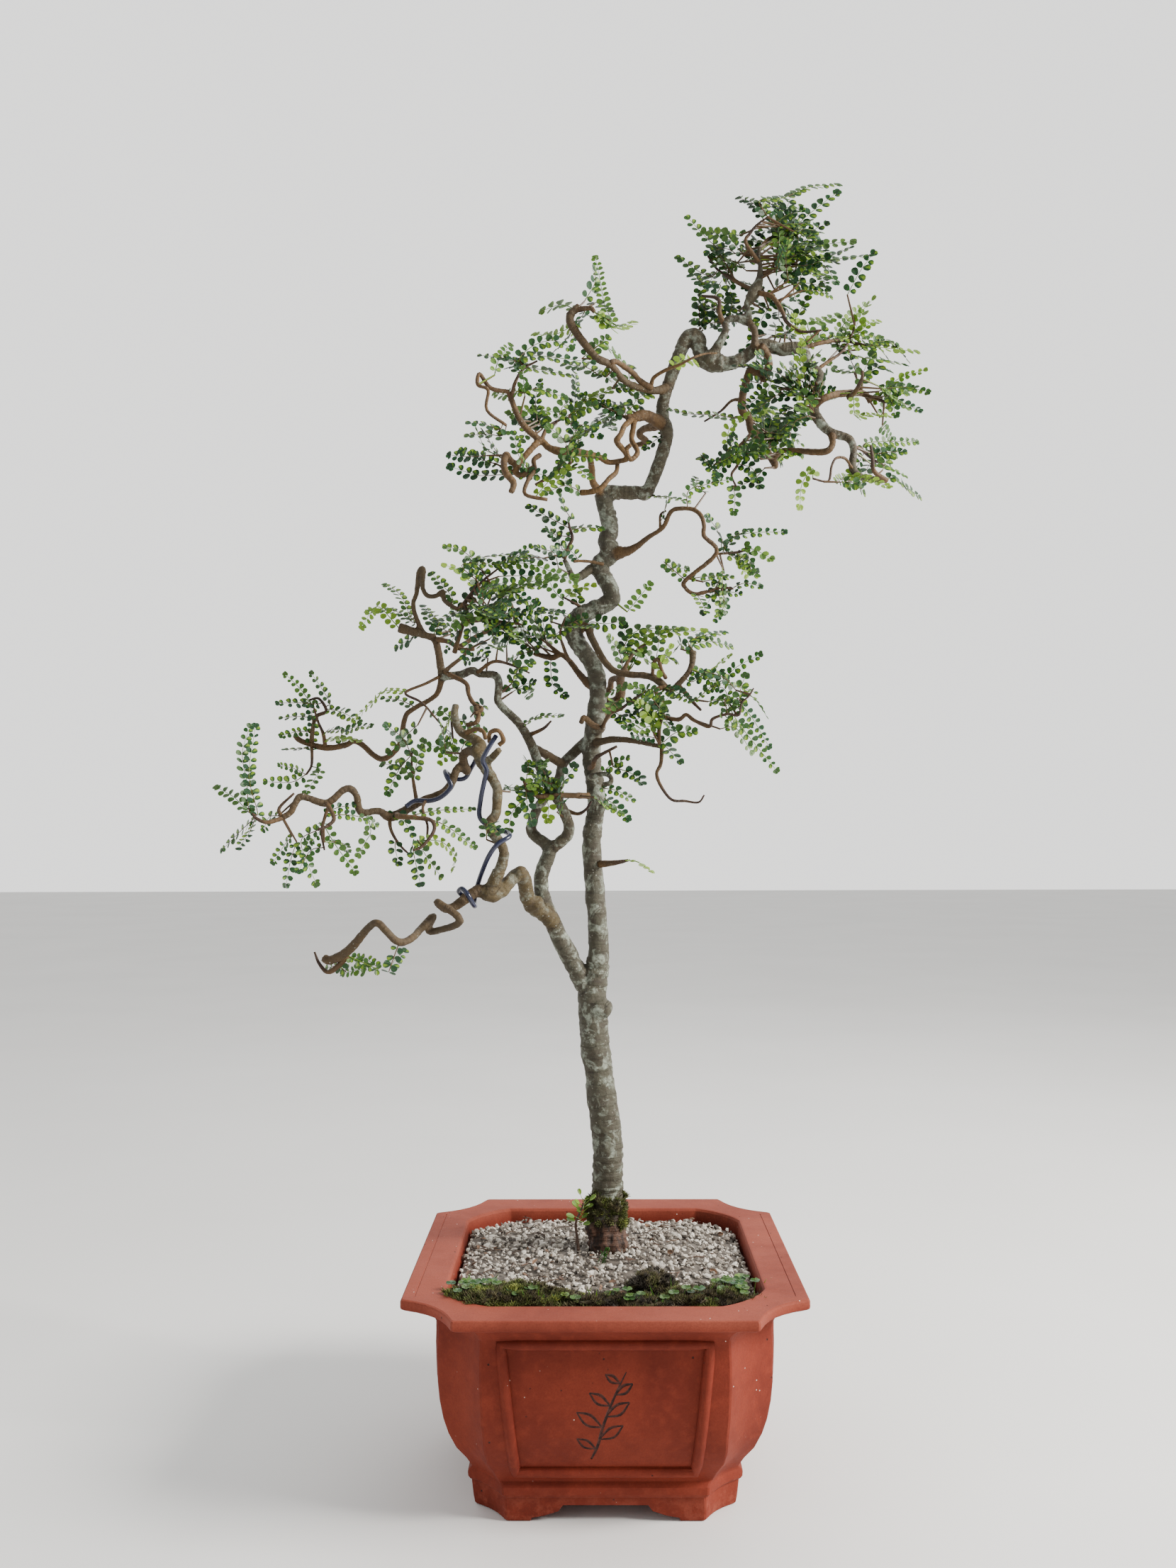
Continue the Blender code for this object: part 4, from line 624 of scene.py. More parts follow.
@dataclass(frozen=True)
class ClayFinish:
    """Unglazed red-brown clay, dusty on the rim and flecked with white grains."""

    body: Colour = (0.132, 0.0165, 0.007)
    pale: Colour = (0.215, 0.032, 0.014)
    dark: Colour = (0.09, 0.009, 0.004)
    dust: Colour = (0.27, 0.062, 0.036)
    fleck: Colour = (0.72, 0.62, 0.55)
    pit: Colour = (0.03, 0.012, 0.01)
    roughness: float = 0.72
    gloss: float = 0.2

    def build(self) -> Material:
        """Wires the clay."""
        g = Graph("fired_clay")
        cloud = g.noise(60, 5, 0.6, 0.4)
        grain = g.noise(1.1, 3, 0.7)
        colour = g.ramp(cloud, (0.12, self.dark), (0.45, self.body), (0.78, self.pale))
        colour = g.mix(g.span(g.noise(7, 4, 0.65), 0.45, 0.7, 0, 0.4), colour, self.pale)
        height = g.node("SeparateXYZ", Vector=g.place).outputs["Z"]
        top = g.span(height, RIM_TOP - 9 * MM, RIM_TOP - MM)
        worn = g.times(top, g.span(cloud, 0.2, 0.7, 0.3, 0.8))
        colour = g.mix(worn, colour, self.dust)
        lime_wash = g.times(g.span(height, 30 * MM, 0.0), g.span(g.noise(9, 5, 0.7), 0.45, 0.62, 0, 0.5))
        colour = g.mix(lime_wash, colour, self.dust)
        colour = g.mix(g.span(grain, 0.35, 0.75, 0.0, 0.35), colour, self.dark)
        spots = g.times(g.span(g.cells(7), 0.07, 0.03), g.span(g.noise(30, 2), 0.5, 0.6))
        colour = g.mix(spots, colour, self.fleck)
        pits = g.times(g.span(g.cells(8.3), 0.1, 0.05), g.span(g.noise(24, 2), 0.5, 0.6))
        colour = g.mix(pits, colour, self.pit)
        soft = g.bump(g.noise(34, 3, 0.5), 1.3)
        fine = g.bump(grain, 0.16, 0.8, soft)
        return g.done(Base_Color=colour, Roughness=self.roughness, Specular_IOR_Level=self.gloss,
                      Normal=g.bump(pits, -0.4, 1, fine))


@dataclass(frozen=True)
class ShadedGrooveFinish:
    """Painted shade for the lines cut into the clay: a dark colour that stands for the shade at the bottom of
    each line.
    """

    # The dark colour of the painted shade, and lighter patches in it.
    colour: Colour = (0.028, 0.012, 0.01)
    worn: Colour = (0.11, 0.035, 0.025)
    roughness: float = 0.9

    def build(self) -> Material:
        """Wires the groove's painted shade."""
        g = Graph("cut_clay_painted_shade")
        colour = g.ramp(g.noise(4, 4, 0.7), (0.4, self.colour), (0.7, self.worn))
        return g.done(Base_Color=colour, Roughness=self.roughness, Normal=g.bump(g.noise(1.2), 0.2))


@dataclass(frozen=True)
class BarkFinish:
    """Bark that runs from purple young tips over golden branches to a grey, lichened trunk."""

    tip: Colour = (0.032, 0.016, 0.012)
    young: Colour = (0.098, 0.054, 0.02)
    brown: Colour = (0.068, 0.045, 0.021)
    old: Colour = (0.062, 0.058, 0.038)
    ochre: Colour = (0.13, 0.07, 0.022)
    olive: Colour = (0.082, 0.058, 0.02)
    lichen: Colour = (0.33, 0.37, 0.3)
    root: Colour = (0.095, 0.047, 0.03)
    root_gap: Colour = (0.026, 0.015, 0.011)
    streaks: Colour = (0.04, 0.026, 0.017)
    banding: Colour = (0.035, 0.028, 0.021)
    crumb: Colour = (0.3, 0.29, 0.24)
    roughness: float = 0.7
    gloss: float = 0.35

    def build(self) -> Material:
        """Wires the bark."""
        g = Graph("bark")
        age, along = g.attribute("age"), g.attribute("along")
        colour = g.ramp(age, (0.0, self.tip), (0.22, self.young), (0.5, self.brown), (0.9, self.old))
        colour = g.mix(g.attribute("ochre"), colour, self.ochre)
        colour = g.mix(g.attribute("olive"), colour, self.olive)
        streak = g.noise(9, 5, 0.7, 0.8)
        colour = g.mix(g.span(streak, 0.4, 0.7, 0.0, 0.55), colour, self.streaks)
        bands = g.noise(2.6, 4, 0.65, 0.3, g.stretched(0.3, 0.3, 1.6))
        colour = g.mix(g.times(g.span(bands, 0.5, 0.72, 0, 0.75), age), colour, self.banding)
        patch = g.span(g.noise(10, 5, 0.68, 0.5), 0.48, 0.64)
        patch = g.times(patch, g.span(age, 0.45, 0.85, 0.0, 0.75))
        patch = g.times(patch, g.span(g.noise(2.2, 3, 0.7), 0.35, 0.6, 0.35, 1))
        colour = g.mix(patch, colour, self.lichen)
        crumbs = g.times(g.span(g.cells(3.1), 0.24, 0.12), g.span(g.noise(11, 3), 0.5, 0.6))
        crumbs = g.times(crumbs, g.span(age, 0.1, 0.5, 0.15, 0.8))
        colour = g.mix(crumbs, colour, self.crumb)
        flakes = g.span(g.noise(3.5, 4, 0.7, 0.4, g.stretched(1, 1, 0.35)), 0.4, 0.6)
        colour = g.mix(g.attribute("root"), colour, g.mix(flakes, self.root_gap, self.root))
        rings = g.maths("SINE", g.times(along, 1.9))
        rough = g.bump(g.noise(2.4, 5, 0.7, 0.4), 0.8, 0.9)
        ringed = g.bump(g.maths("ADD", g.times(rings, 0.3), bands), 0.55, 0.7, rough)
        return g.done(Base_Color=colour, Roughness=self.roughness, Specular_IOR_Level=self.gloss,
                      Normal=g.bump(crumbs, 0.5, 1, ringed))


@dataclass(frozen=True)
class LeafFinish:
    """Leaflets in greens set by each one's tint; a tint above RIB_TINT is a brown rib."""

    name: str = "leaf"
    dark: Colour = (0.009, 0.026, 0.007)
    blue: Colour = (0.017, 0.052, 0.023)
    green: Colour = (0.029, 0.07, 0.014)
    pale: Colour = (0.064, 0.125, 0.024)
    lime: Colour = (0.17, 0.27, 0.02)
    rib: Colour = (0.08, 0.045, 0.02)
    roughness: float = 0.42
    gloss: float = 0.3

    def build(self) -> Material:
        """Wires the leaf."""
        g = Graph(self.name)
        wander = g.maths("MULTIPLY_ADD", g.noise(5, 4, 0.6), 0.3, -0.15)
        tint = g.maths("ADD", g.attribute("tint"), wander)
        colour = g.ramp(tint, (0.05, self.dark), (0.3, self.blue), (0.5, self.green), (0.72, self.pale),
                        (0.95, self.lime))
        colour = g.mix(g.span(g.noise(1.4, 3), 0.5, 0.75, 0, 0.25), colour, self.pale)
        colour = g.mix(g.span(g.attribute("tint"), RIB_TINT - 0.3, RIB_TINT - 0.1), colour, self.rib)
        veins = g.bump(g.noise(0.9, 3), 0.12)
        return g.done(Base_Color=colour, Roughness=self.roughness, Specular_IOR_Level=self.gloss,
                      Normal=veins, Subsurface_Weight=0.12, Subsurface_Radius=(0.4, 1.0, 0.15),
                      Subsurface_Scale=1.5 * MM)


@dataclass(frozen=True)
class SpeckFinish:
    """Loose small matter, coloured by each bit's tint along a row of stops."""

    name: str
    stops: tuple[Colour, ...]
    roughness: float = 0.9
    grain: float = 0.8
    depth: float = 0.15

    def build(self) -> Material:
        """Wires the specks."""
        g = Graph(self.name)
        wander = g.maths("MULTIPLY_ADD", g.noise(self.grain * 4, 4, 0.65), 0.36, -0.18)
        tint = g.maths("ADD", g.attribute("tint"), wander)
        count = len(self.stops) - 1
        colour = g.ramp(tint, *((i / count, stop) for i, stop in enumerate(self.stops)))
        return g.done(Base_Color=colour, Roughness=self.roughness,
                      Normal=g.bump(g.noise(self.grain, 4), self.depth))


@dataclass(frozen=True)
class CoatFinish:
    """A plain coat, such as lacquered or bare wire or plastic, with wear in its gloss."""

    name: str
    colour: Colour
    worn: Colour
    roughness: tuple[float, float]
    metallic: float = 0.0

    def build(self) -> Material:
        """Wires the coat."""
        g = Graph(self.name)
        cloud = g.noise(6, 4, 0.6)
        colour = g.mix(g.span(cloud, 0.5, 0.75, 0, 0.7), self.colour, self.worn)
        return g.done(Base_Color=colour, Metallic=self.metallic,
                      Roughness=g.span(cloud, 0.3, 0.8, *self.roughness), Normal=g.bump(g.noise(2.5), 0.06))


def finished(obj: bpy.types.Object, slot: str, *nodes: str) -> bpy.types.Object:
    """Lets a piece ride on the tree's one body and stand for the solids that it covers.

    Args:
        obj: the piece.
        slot: not used.
        nodes: the solids that it stands for.

    Returns:
        The same piece.
    """
    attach(obj, "root")
    if nodes:
        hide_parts(*nodes)
    LOG.info("built %s", obj.name)
    return obj


def placed(name: str, data: bpy.types.ID) -> bpy.types.Object:
    """A new object that shows this data, at the scene's origin."""
    obj = bpy.data.objects.new(name, data)
    bpy.context.scene.collection.objects.link(obj)
    return obj


def settled(obj: bpy.types.Object) -> bpy.types.Mesh:
    """An object's mesh as its modifiers or its bevel leave it."""
    bpy.context.view_layer.update()
    return bpy.data.meshes.new_from_object(obj.evaluated_get(bpy.context.evaluated_depsgraph_get()))


def points_in(geometry: list) -> list[bmesh.types.BMVert]:
    """The points among what a bmesh operator gives back."""
    return [item for item in geometry if isinstance(item, bmesh.types.BMVert)]


def mesh_object(name: str, bm: bmesh.types.BMesh, *materials: Material,
                smooth: bool = True) -> bpy.types.Object:
    """Puts a bmesh into the scene.

    Args:
        name: the new object's name.
        bm: its shape, in the frame's metres. It is freed.
        materials: its materials, in the order of the faces' indices.
        smooth: whether its faces are shaded as one surface.

    Returns:
        The object.
    """
    for face in bm.faces:
        face.smooth = smooth
    mesh = bpy.data.meshes.new(name)
    bm.to_mesh(mesh)
    bm.free()
    for material in materials:
        mesh.materials.append(material)
    return placed(name, mesh)


def cord_mesh(points: Route, sides: int) -> bpy.types.Mesh:
    """A round cord with capped ends as a mesh.

    Args:
        points: (x, y, z, radius) in millimetres from the rim's middle.
        sides: 4, 6, 8 and so on.

    Returns:
        A mesh in the frame's metres.
    """
    obj = cord_curve("cord", points, sides)
    mesh = settled(obj)
    bpy.data.objects.remove(obj, do_unlink=True)
    bm = bmesh.new()
    bm.from_mesh(mesh)
    bmesh.ops.remove_doubles(bm, verts=bm.verts, dist=1e-6)
    bm.to_mesh(mesh)
    bm.free()
    return mesh


def cord_curve(name: str, points: Route, sides: int, closed: bool = False) -> bpy.types.Object:
    """A round cord with capped ends as a bevelled curve.

    Args:
        name: the object's name.
        points: (x, y, z, radius) in millimetres from the rim's middle.
        sides: 4, 6, 8 and so on.
        closed: whether its ends meet.

    Returns:
        The curve object.
    """
    curve = bpy.data.curves.new(name, "CURVE")
    curve.dimensions = "3D"
    curve.bevel_depth = MM
    curve.bevel_resolution = sides // 2 - 2
    curve.use_fill_caps = True
    line = curve.splines.new("POLY")
    line.points.add(len(points) - 1)
    line.use_cyclic_u = closed
    for point, (x, y, z, radius) in zip(line.points, points):
        point.co = (*bench(x, y, z), 1)
        point.radius = radius
    return placed(name, curve)


def numbers(mesh: bpy.types.Mesh, name: str, values: np.ndarray) -> None:
    """Stores one number for each point of a mesh under a name."""
    mesh.attributes.new(name, "FLOAT", "POINT").data.foreach_set("value", values.astype(np.float32))


class Stamps:
    """A piece gathered from placed copies of small templates, with a tint for each copy."""

    def __init__(self) -> None:
        """Starts with nothing."""
        self.bm = bmesh.new()
        self.tints: list[tuple[float, int]] = []

    def add(self, template: bpy.types.Mesh, place: Matrix, tint: float) -> None:
        """Adds one copy of a template at a place."""
        copy = template.copy()
        copy.transform(place)
        self.bm.from_mesh(copy)
        bpy.data.meshes.remove(copy)
        self.tints.append((tint, len(template.vertices)))

    def rod(self, start: Vector, end: Vector, radii: tuple[float, float], tint: float,
            sides: int = 4) -> None:
        """Adds a straight tapering stalk between two places in the frame; radii are in metres."""
        along = end - start
        place = Matrix.Translation((start + end) / 2) @ along.to_track_quat("Z", "Y").to_matrix().to_4x4()
        bmesh.ops.create_cone(self.bm, cap_ends=True, segments=sides, radius1=radii[0], radius2=radii[1],
                              depth=along.length * 1.04, matrix=place)
        self.tints.append((tint, sides * 2))

    def piece(self, name: str, material: Material, slot: str, *nodes: str,
              smooth: bool = False) -> bpy.types.Object:
        """Makes the object, with its tints stored, and finishes it."""
        obj = mesh_object(name, self.bm, material, smooth=smooth)
        tints, counts = zip(*self.tints)
        numbers(obj.data, "tint", np.repeat(np.array(tints), np.array(counts)))
        return finished(obj, slot, *nodes)


def template_of(bm: bmesh.types.BMesh) -> bpy.types.Mesh:
    """Keeps a bmesh as a template mesh and frees it."""
    mesh = bpy.data.meshes.new("template")
    bm.to_mesh(mesh)
    bm.free()
    return mesh


def leaflet_template(width: float, fold: float, sides: int = 8, thickness: float = 0.05) -> bpy.types.Mesh:
    """An oval leaflet one unit long that lies along X with its stalk at the origin.

    Args:
        width: its width as a share of its length.
        fold: how far its halves rise from the midrib, as a share of their width.
        sides: how many corners it has.
        thickness: its thickness as a share of its length.

    Returns:
        The closed template.
    """
    bm = bmesh.new()
    bmesh.ops.create_circle(bm, cap_ends=True, segments=sides, radius=0.5)
    bm.verts.ensure_lookup_table()
    ends = sorted(bm.verts, key=lambda v: v.co.y)
    bmesh.ops.connect_vert_pair(bm, verts=[ends[0], ends[-1]])
    for v in bm.verts:
        across, length = v.co.x * width, v.co.y + 0.5
        v.co = (length, across * (0.75 + 0.5 * length), abs(across) * fold - 0.1 * (length - 0.5) ** 2)
    bmesh.ops.recalc_face_normals(bm, faces=bm.faces)
    bmesh.ops.solidify(bm, geom=list(bm.faces), thickness=thickness)
    bmesh.ops.recalc_face_normals(bm, faces=bm.faces)
    return template_of(bm)


def frame_of(along: Vector, facing: Vector) -> tuple[Vector, Vector, Vector]:
    """A square set of directions: along, across and out of a surface that faces that way."""
    along = along.normalized()
    across = facing.cross(along)
    if across.length < 1e-4:
        across = along.orthogonal()
    across.normalize()
    return along, across, along.cross(across)


def axes(x: Vector, y: Vector, z: Vector, at: Vector, size: float = 1.0) -> Matrix:
    """The matrix that gives a template these directions, this place and this size in metres."""
    rows = [(x[i], y[i], z[i], at[i]) for i in range(3)]
    return Matrix((*rows, (0, 0, 0, 1))) @ Matrix.Scale(size, 4)


def quarter_turn(quarter: int) -> Matrix:
    """The turn from the front to one of the pot's four sides."""
    return Matrix.Rotation(quarter * math.pi / 2, 3, "Z")


@dataclass
class Pot:
    """The square clay pot with scooped corners, bracket feet, framed panels and a sprig cut in the front."""

    clay: Material
    # The groove's painted shade, for the faces of the cut sprig.
    groove: Material
    panel_depth: float = 2.2
    panel_top: tuple[float, float] = (-26, 62)  # height and half width
    panel_foot: tuple[float, float] = (-105, 53.5)
    bead_radius: float = 3.7
    bead_step: tuple[float, float] = (3.4, 1.4)  # how far out and how far in from the panel's edge
    drain_radius: float = 12
    sharp: float = 20  # degrees
    # The panel's edge, from in front of the wall inwards: how far out from the edge, and how deep.
    edge_steps: tuple[tuple[float, float], ...] = (
        (1, -40), (1, -1.3), (0.9, 0.07), (0.5, 1.2), (0, 2.4), (-0.7, 12))
    # Half of the gap between two feet, as (x, z).
    arch: tuple[tuple[float, float], ...] = ((27, -131), (30, -135), (39, -138), (47, -139.5), (49, -146))
    # Outlines from the foot up over the lip and down the inside: half side, cut, scoop, height.
    foot: tuple[tuple[float, float, float, float], ...] = (
        (84.2, 21.2, 2.5, -142), (85.2, 21.5, 2.5, -141), (86, 22, 2.5, -137), (87, 23, 2.5, -129),
        (87.5, 24, 2.5, -124.6))
    wall: tuple[tuple[float, float, float, float], ...] = (
        (87.2, 24, 2.5, -126), (88.6, 24, 2.5, -125.2), (89.5, 24, 2.5, -123.6), (89.7, 24, 2.5, -121),
        (89.4, 23.6, 2.5, -119), (88.2, 22, 2.3, -117.6), (87, 19.6, 2, -116), (87.2, 19, 2, -114.8),
        (90.6, 20, 2.2, -109), (96.5, 22, 2.5, -101), (101.2, 25, 2.8, -91.5), (104.5, 28, 3, -82),
        (106.8, 29.3, 3, -70), (108, 30, 3, -58), (108.5, 30, 3, -38), (108, 30, 3, -24),
        (108.5, 30.4, 3.3, -20), (110, 31, 4, -17), (113, 32, 4.4, -13.6), (117, 33, 5, -11),
        (121, 34, 5.5, -9))
    lip: tuple[tuple[float, float, float, float], ...] = (
        (125, 35, 6, -7.6), (128.6, 35.8, 6.8, -7), (129.7, 36, 7, -6.2), (130, 36, 7, -5),
        (130, 36, 7, -1.4), (129.7, 36, 7, -0.5), (128.9, 35.9, 7, 0), (105.4, 31, -4, 0),
        (104, 30.4, -4, -0.5), (103, 30, -4, -2), (101, 29, -3, -24), (100, 27, -2, -60), (96, 25, -1, -84),
        (89, 21, 0, -100), (80, 18, 0, -116))

    def outline(self, half: float, cut: float, scoop: float, z: float, soften: float = 1.3) -> list[Vector]:
        """The pot's plan at one height.

        Args:
            half: half the square's side.
            cut: how much of each side its corners take.
            scoop: how far the corners bend inwards.
            z: the height.
            soften: how far the sides' ends are rounded.

        Returns:
            The corners of the plan, in the frame.
        """
        points: list[Vector] = []
        for quarter in range(4):
            turn = quarter_turn(quarter)
            start, end = Vector((half, half - cut, 0)), Vector((half - cut, half, 0))
            inward = Vector((-1, -1, 0)).normalized() * scoop * 4
            arc = [start.lerp(end, t) + inward * t * (1 - t) for t in (0.08, 0.2, 0.35, 0.5, 0.65, 0.8, 0.92)]
            before, after = start - Vector((0, soften, 0)), end - Vector((soften, 0, 0))
            softened = [before, before.lerp(start, 0.5).lerp(start.lerp(arc[0], 0.5), 0.5), *arc,
                        after.lerp(end, 0.5).lerp(end.lerp(arc[-1], 0.5), 0.5), after]
            points += [turn @ p for p in softened]
        return [bench(p.x, p.y, z) for p in points]

    def loft(self, rings: list[list[Vector]]) -> bmesh.types.BMesh:
        """A closed body through a stack of outlines."""
        bm = bmesh.new()
        verts = [bm.verts.new(point) for point in rings[0]]
        edges = [bm.edges.new(pair) for pair in zip(verts, verts[1:] + verts[:1])]
        bmesh.ops.contextual_create(bm, geom=edges)
        for ring in rings[1:]:
            grown = bmesh.ops.extrude_edge_only(bm, edges=edges)["geom"]
            fresh = {tuple(v.co): v for v in points_in(grown)}
            verts = [fresh[tuple(v.co)] for v in verts]
            edges = [e for e in grown if isinstance(e, bmesh.types.BMEdge) and set(e.verts) <= set(verts)]
            for v, point in zip(verts, ring):
                v.co = point
        bmesh.ops.contextual_create(bm, geom=edges)
        bmesh.ops.recalc_face_normals(bm, faces=bm.faces)
        return bm

    def wall_half(self, z: float) -> float:
        """How far the wall above the foot's moulding stands out at a height."""
        rings = self.wall[7:]
        return float(np.interp(z, [ring[3] for ring in rings], [ring[0] for ring in rings]))

    def panel_ring(self, grow: float, depth: float) -> list[Vector]:
        """The front panel's outline, grown by some millimetres, that far behind the wall's face."""
        (top, wide), (foot, narrow) = self.panel_top, self.panel_foot
        corners = [(-narrow - grow, foot - grow), (narrow + grow, foot - grow), (wide + grow, top + grow),
                   (-wide - grow, top + grow)]
        ring = []
        for (x0, z0), (x1, z1) in zip(corners, corners[1:] + corners[:1]):
            for t in np.arange(12) / 12:
                z = z0 + (z1 - z0) * t
                ring.append(bench(x0 + (x1 - x0) * t, depth - self.wall_half(z), z))
        return ring

    def panel_loop(self, quarter: int) -> Route:
        """The closed line of the rounded bead that frames one panel, as (x, y, z, radius)."""
        turn = quarter_turn(quarter)
        ring = [turn @ (point - POT_MIDDLE) / MM for point in self.panel_ring(*self.bead_step)]
        return [(*point, self.bead_radius) for point in ring]

    def cut(self, pot: bpy.types.Object, cutter: bpy.types.Object, how: str = "DIFFERENCE") -> None:
        """Applies one Boolean to the pot and removes the cutter."""
        modifier = pot.modifiers.new("cut", "BOOLEAN")
        modifier.object = cutter
        modifier.operation = how
        modifier.solver = "EXACT"
        modifier.use_self = cutter.name == "strokes"
        modifier.material_mode = "TRANSFER"
        mesh = settled(pot)
        pot.modifiers.clear()
        pot.data = mesh
        bpy.data.objects.remove(cutter, do_unlink=True)

    def turned(self, bm: bmesh.types.BMesh, quarter: int) -> bmesh.types.BMesh:
        """Turns a shape made for the front to another side."""
        bmesh.ops.rotate(bm, cent=POT_MIDDLE, matrix=quarter_turn(quarter), verts=bm.verts)
        return bm

    def sprig(self) -> list[Route]:
        """The strokes of the leafy sprig in the panel, as (x, z, radius)."""
        strokes: list[Route] = [
            [(-9, -98, 0.7), (-5, -88, 1), (-2, -76, 1), (2, -64, 0.9), (8, -50, 0.7), (13, -40, 0.4)]]
        for x, z, side, size in ((-6, -90, -1, 12), (-4, -83, 1, 15), (-2, -75, -1, 16), (0, -68, 1, 15),
                                 (3, -61, -1, 13), (6, -54, 1, 11), (9, -47, -1, 9)):
            for root, out, rise, width in ((0.6, 0.45, 0.5, 1), (0.5, 0.62, 0.1, 0.9)):
                strokes.append([(x, z, root), (x + side * size * out, z + size * rise, width),
                                (x + side * size, z + size * 0.62, 0.5)])
        return strokes

    def carve_feet(self, pot: bpy.types.Object) -> None:
        """Adds the band under the wall, hollows it and cuts the gaps between the feet."""
        band = self.loft([self.outline(*ring) for ring in self.foot])
        self.cut(pot, mesh_object("band", band, self.clay), "UNION")
        hollow = [self.outline(68, 14, 0, z) for z in (-147, -125.8)]
        self.cut(pot, mesh_object("hollow", self.loft(hollow), self.clay))
        gap = [*self.arch, *((-x, z) for x, z in reversed(self.arch))]
        for quarter in (0, 1):
            prism = self.loft([[bench(x, y, z) for x, z in gap] for y in (-120, 120)])
            self.cut(pot, mesh_object("arch", self.turned(prism, quarter), self.clay))

    def sink_panels(self, pot: bpy.types.Object) -> None:
        """Sinks the four panels, each down to the wall's own shape moved inwards."""
        for quarter in range(4):
            rings = [self.panel_ring(*step) for step in self.edge_steps]
            panel = mesh_object("panel", self.turned(self.loft(rings), quarter), self.clay)
            inset = [self.outline(half - self.panel_depth, *rest) for half, *rest in self.wall]
            self.cut(panel, mesh_object("core", self.loft(inset), self.clay))
            self.cut(pot, panel)

    def cut_sprig(self, pot: bpy.types.Object) -> None:
        """Cuts the leafy sprig into the front panel."""
        strokes = bmesh.new()
        for stroke in self.sprig():
            points = smooth_route(stroke, 4)
            line = [(x, self.panel_depth - self.wall_half(z) - r * 0.1, z, r) for x, z, r in points]
            strokes.from_mesh(cord_mesh(line, 8))
        # The strokes' faces carry the groove's painted shade into the pot.
        self.cut(pot, mesh_object("strokes", strokes, self.groove))

    def lay_beads(self) -> None:
        """The rounded beads that frame the panels."""
        for quarter in range(4):
            bead = cord_curve(f"fine_pot_bead_{quarter}", self.panel_loop(quarter), 12, closed=True)
            bead.data.materials.append(self.clay)
            finished(bead, "fired_clay")

    def score_lip(self, pot: bpy.types.Object) -> None:
        """Scores the fine lines along both sides of the lip."""
        for quarter in (1, 3):
            line = [(x, -121.5, 0.1, 0.5) for x in (-88, -40, 0, 40, 88)]
            thread = bmesh.new()
            thread.from_mesh(cord_mesh(line, 8))
            self.cut(pot, mesh_object("thread", self.turned(thread, quarter), self.clay))

    def drill(self, pot: bpy.types.Object) -> None:
        """Makes the drain hole."""
        drain = bmesh.new()
        bmesh.ops.create_cone(drain, cap_ends=True, segments=32, radius1=self.drain_radius * MM,
                              radius2=self.drain_radius * MM, depth=40 * MM,
                              matrix=Matrix.Translation(bench(0, 0, -120)))
        self.cut(pot, mesh_object("drain", drain, self.clay))

    def shade(self, pot: bpy.types.Object) -> None:
        """Smooths the faces and keeps the creases sharp."""
        bm = bmesh.new()
        bm.from_mesh(pot.data)
        bmesh.ops.triangulate(bm, faces=[face for face in bm.faces if len(face.verts) > 4])
        for face in bm.faces:
            face.smooth = True
        for edge in bm.edges:
            edge.smooth = len(edge.link_faces) == 2 and edge.calc_face_angle(0) < math.radians(self.sharp)
        bm.to_mesh(pot.data)
        bm.free()
        pot.modifiers.new("even_shading", "WEIGHTED_NORMAL").keep_sharp = True

    def build(self) -> None:
        """Makes the whole pot."""
        rings = [self.outline(*ring) for ring in self.wall + self.lip]
        pot = mesh_object("fine_pot", self.loft(rings), self.clay, self.groove)
        self.carve_feet(pot)
        self.sink_panels(pot)
        self.cut_sprig(pot)
        self.lay_beads()
        self.score_lip(pot)
        self.drill(pot)
        self.shade(pot)
        finished(pot, "fired_clay", "pot")


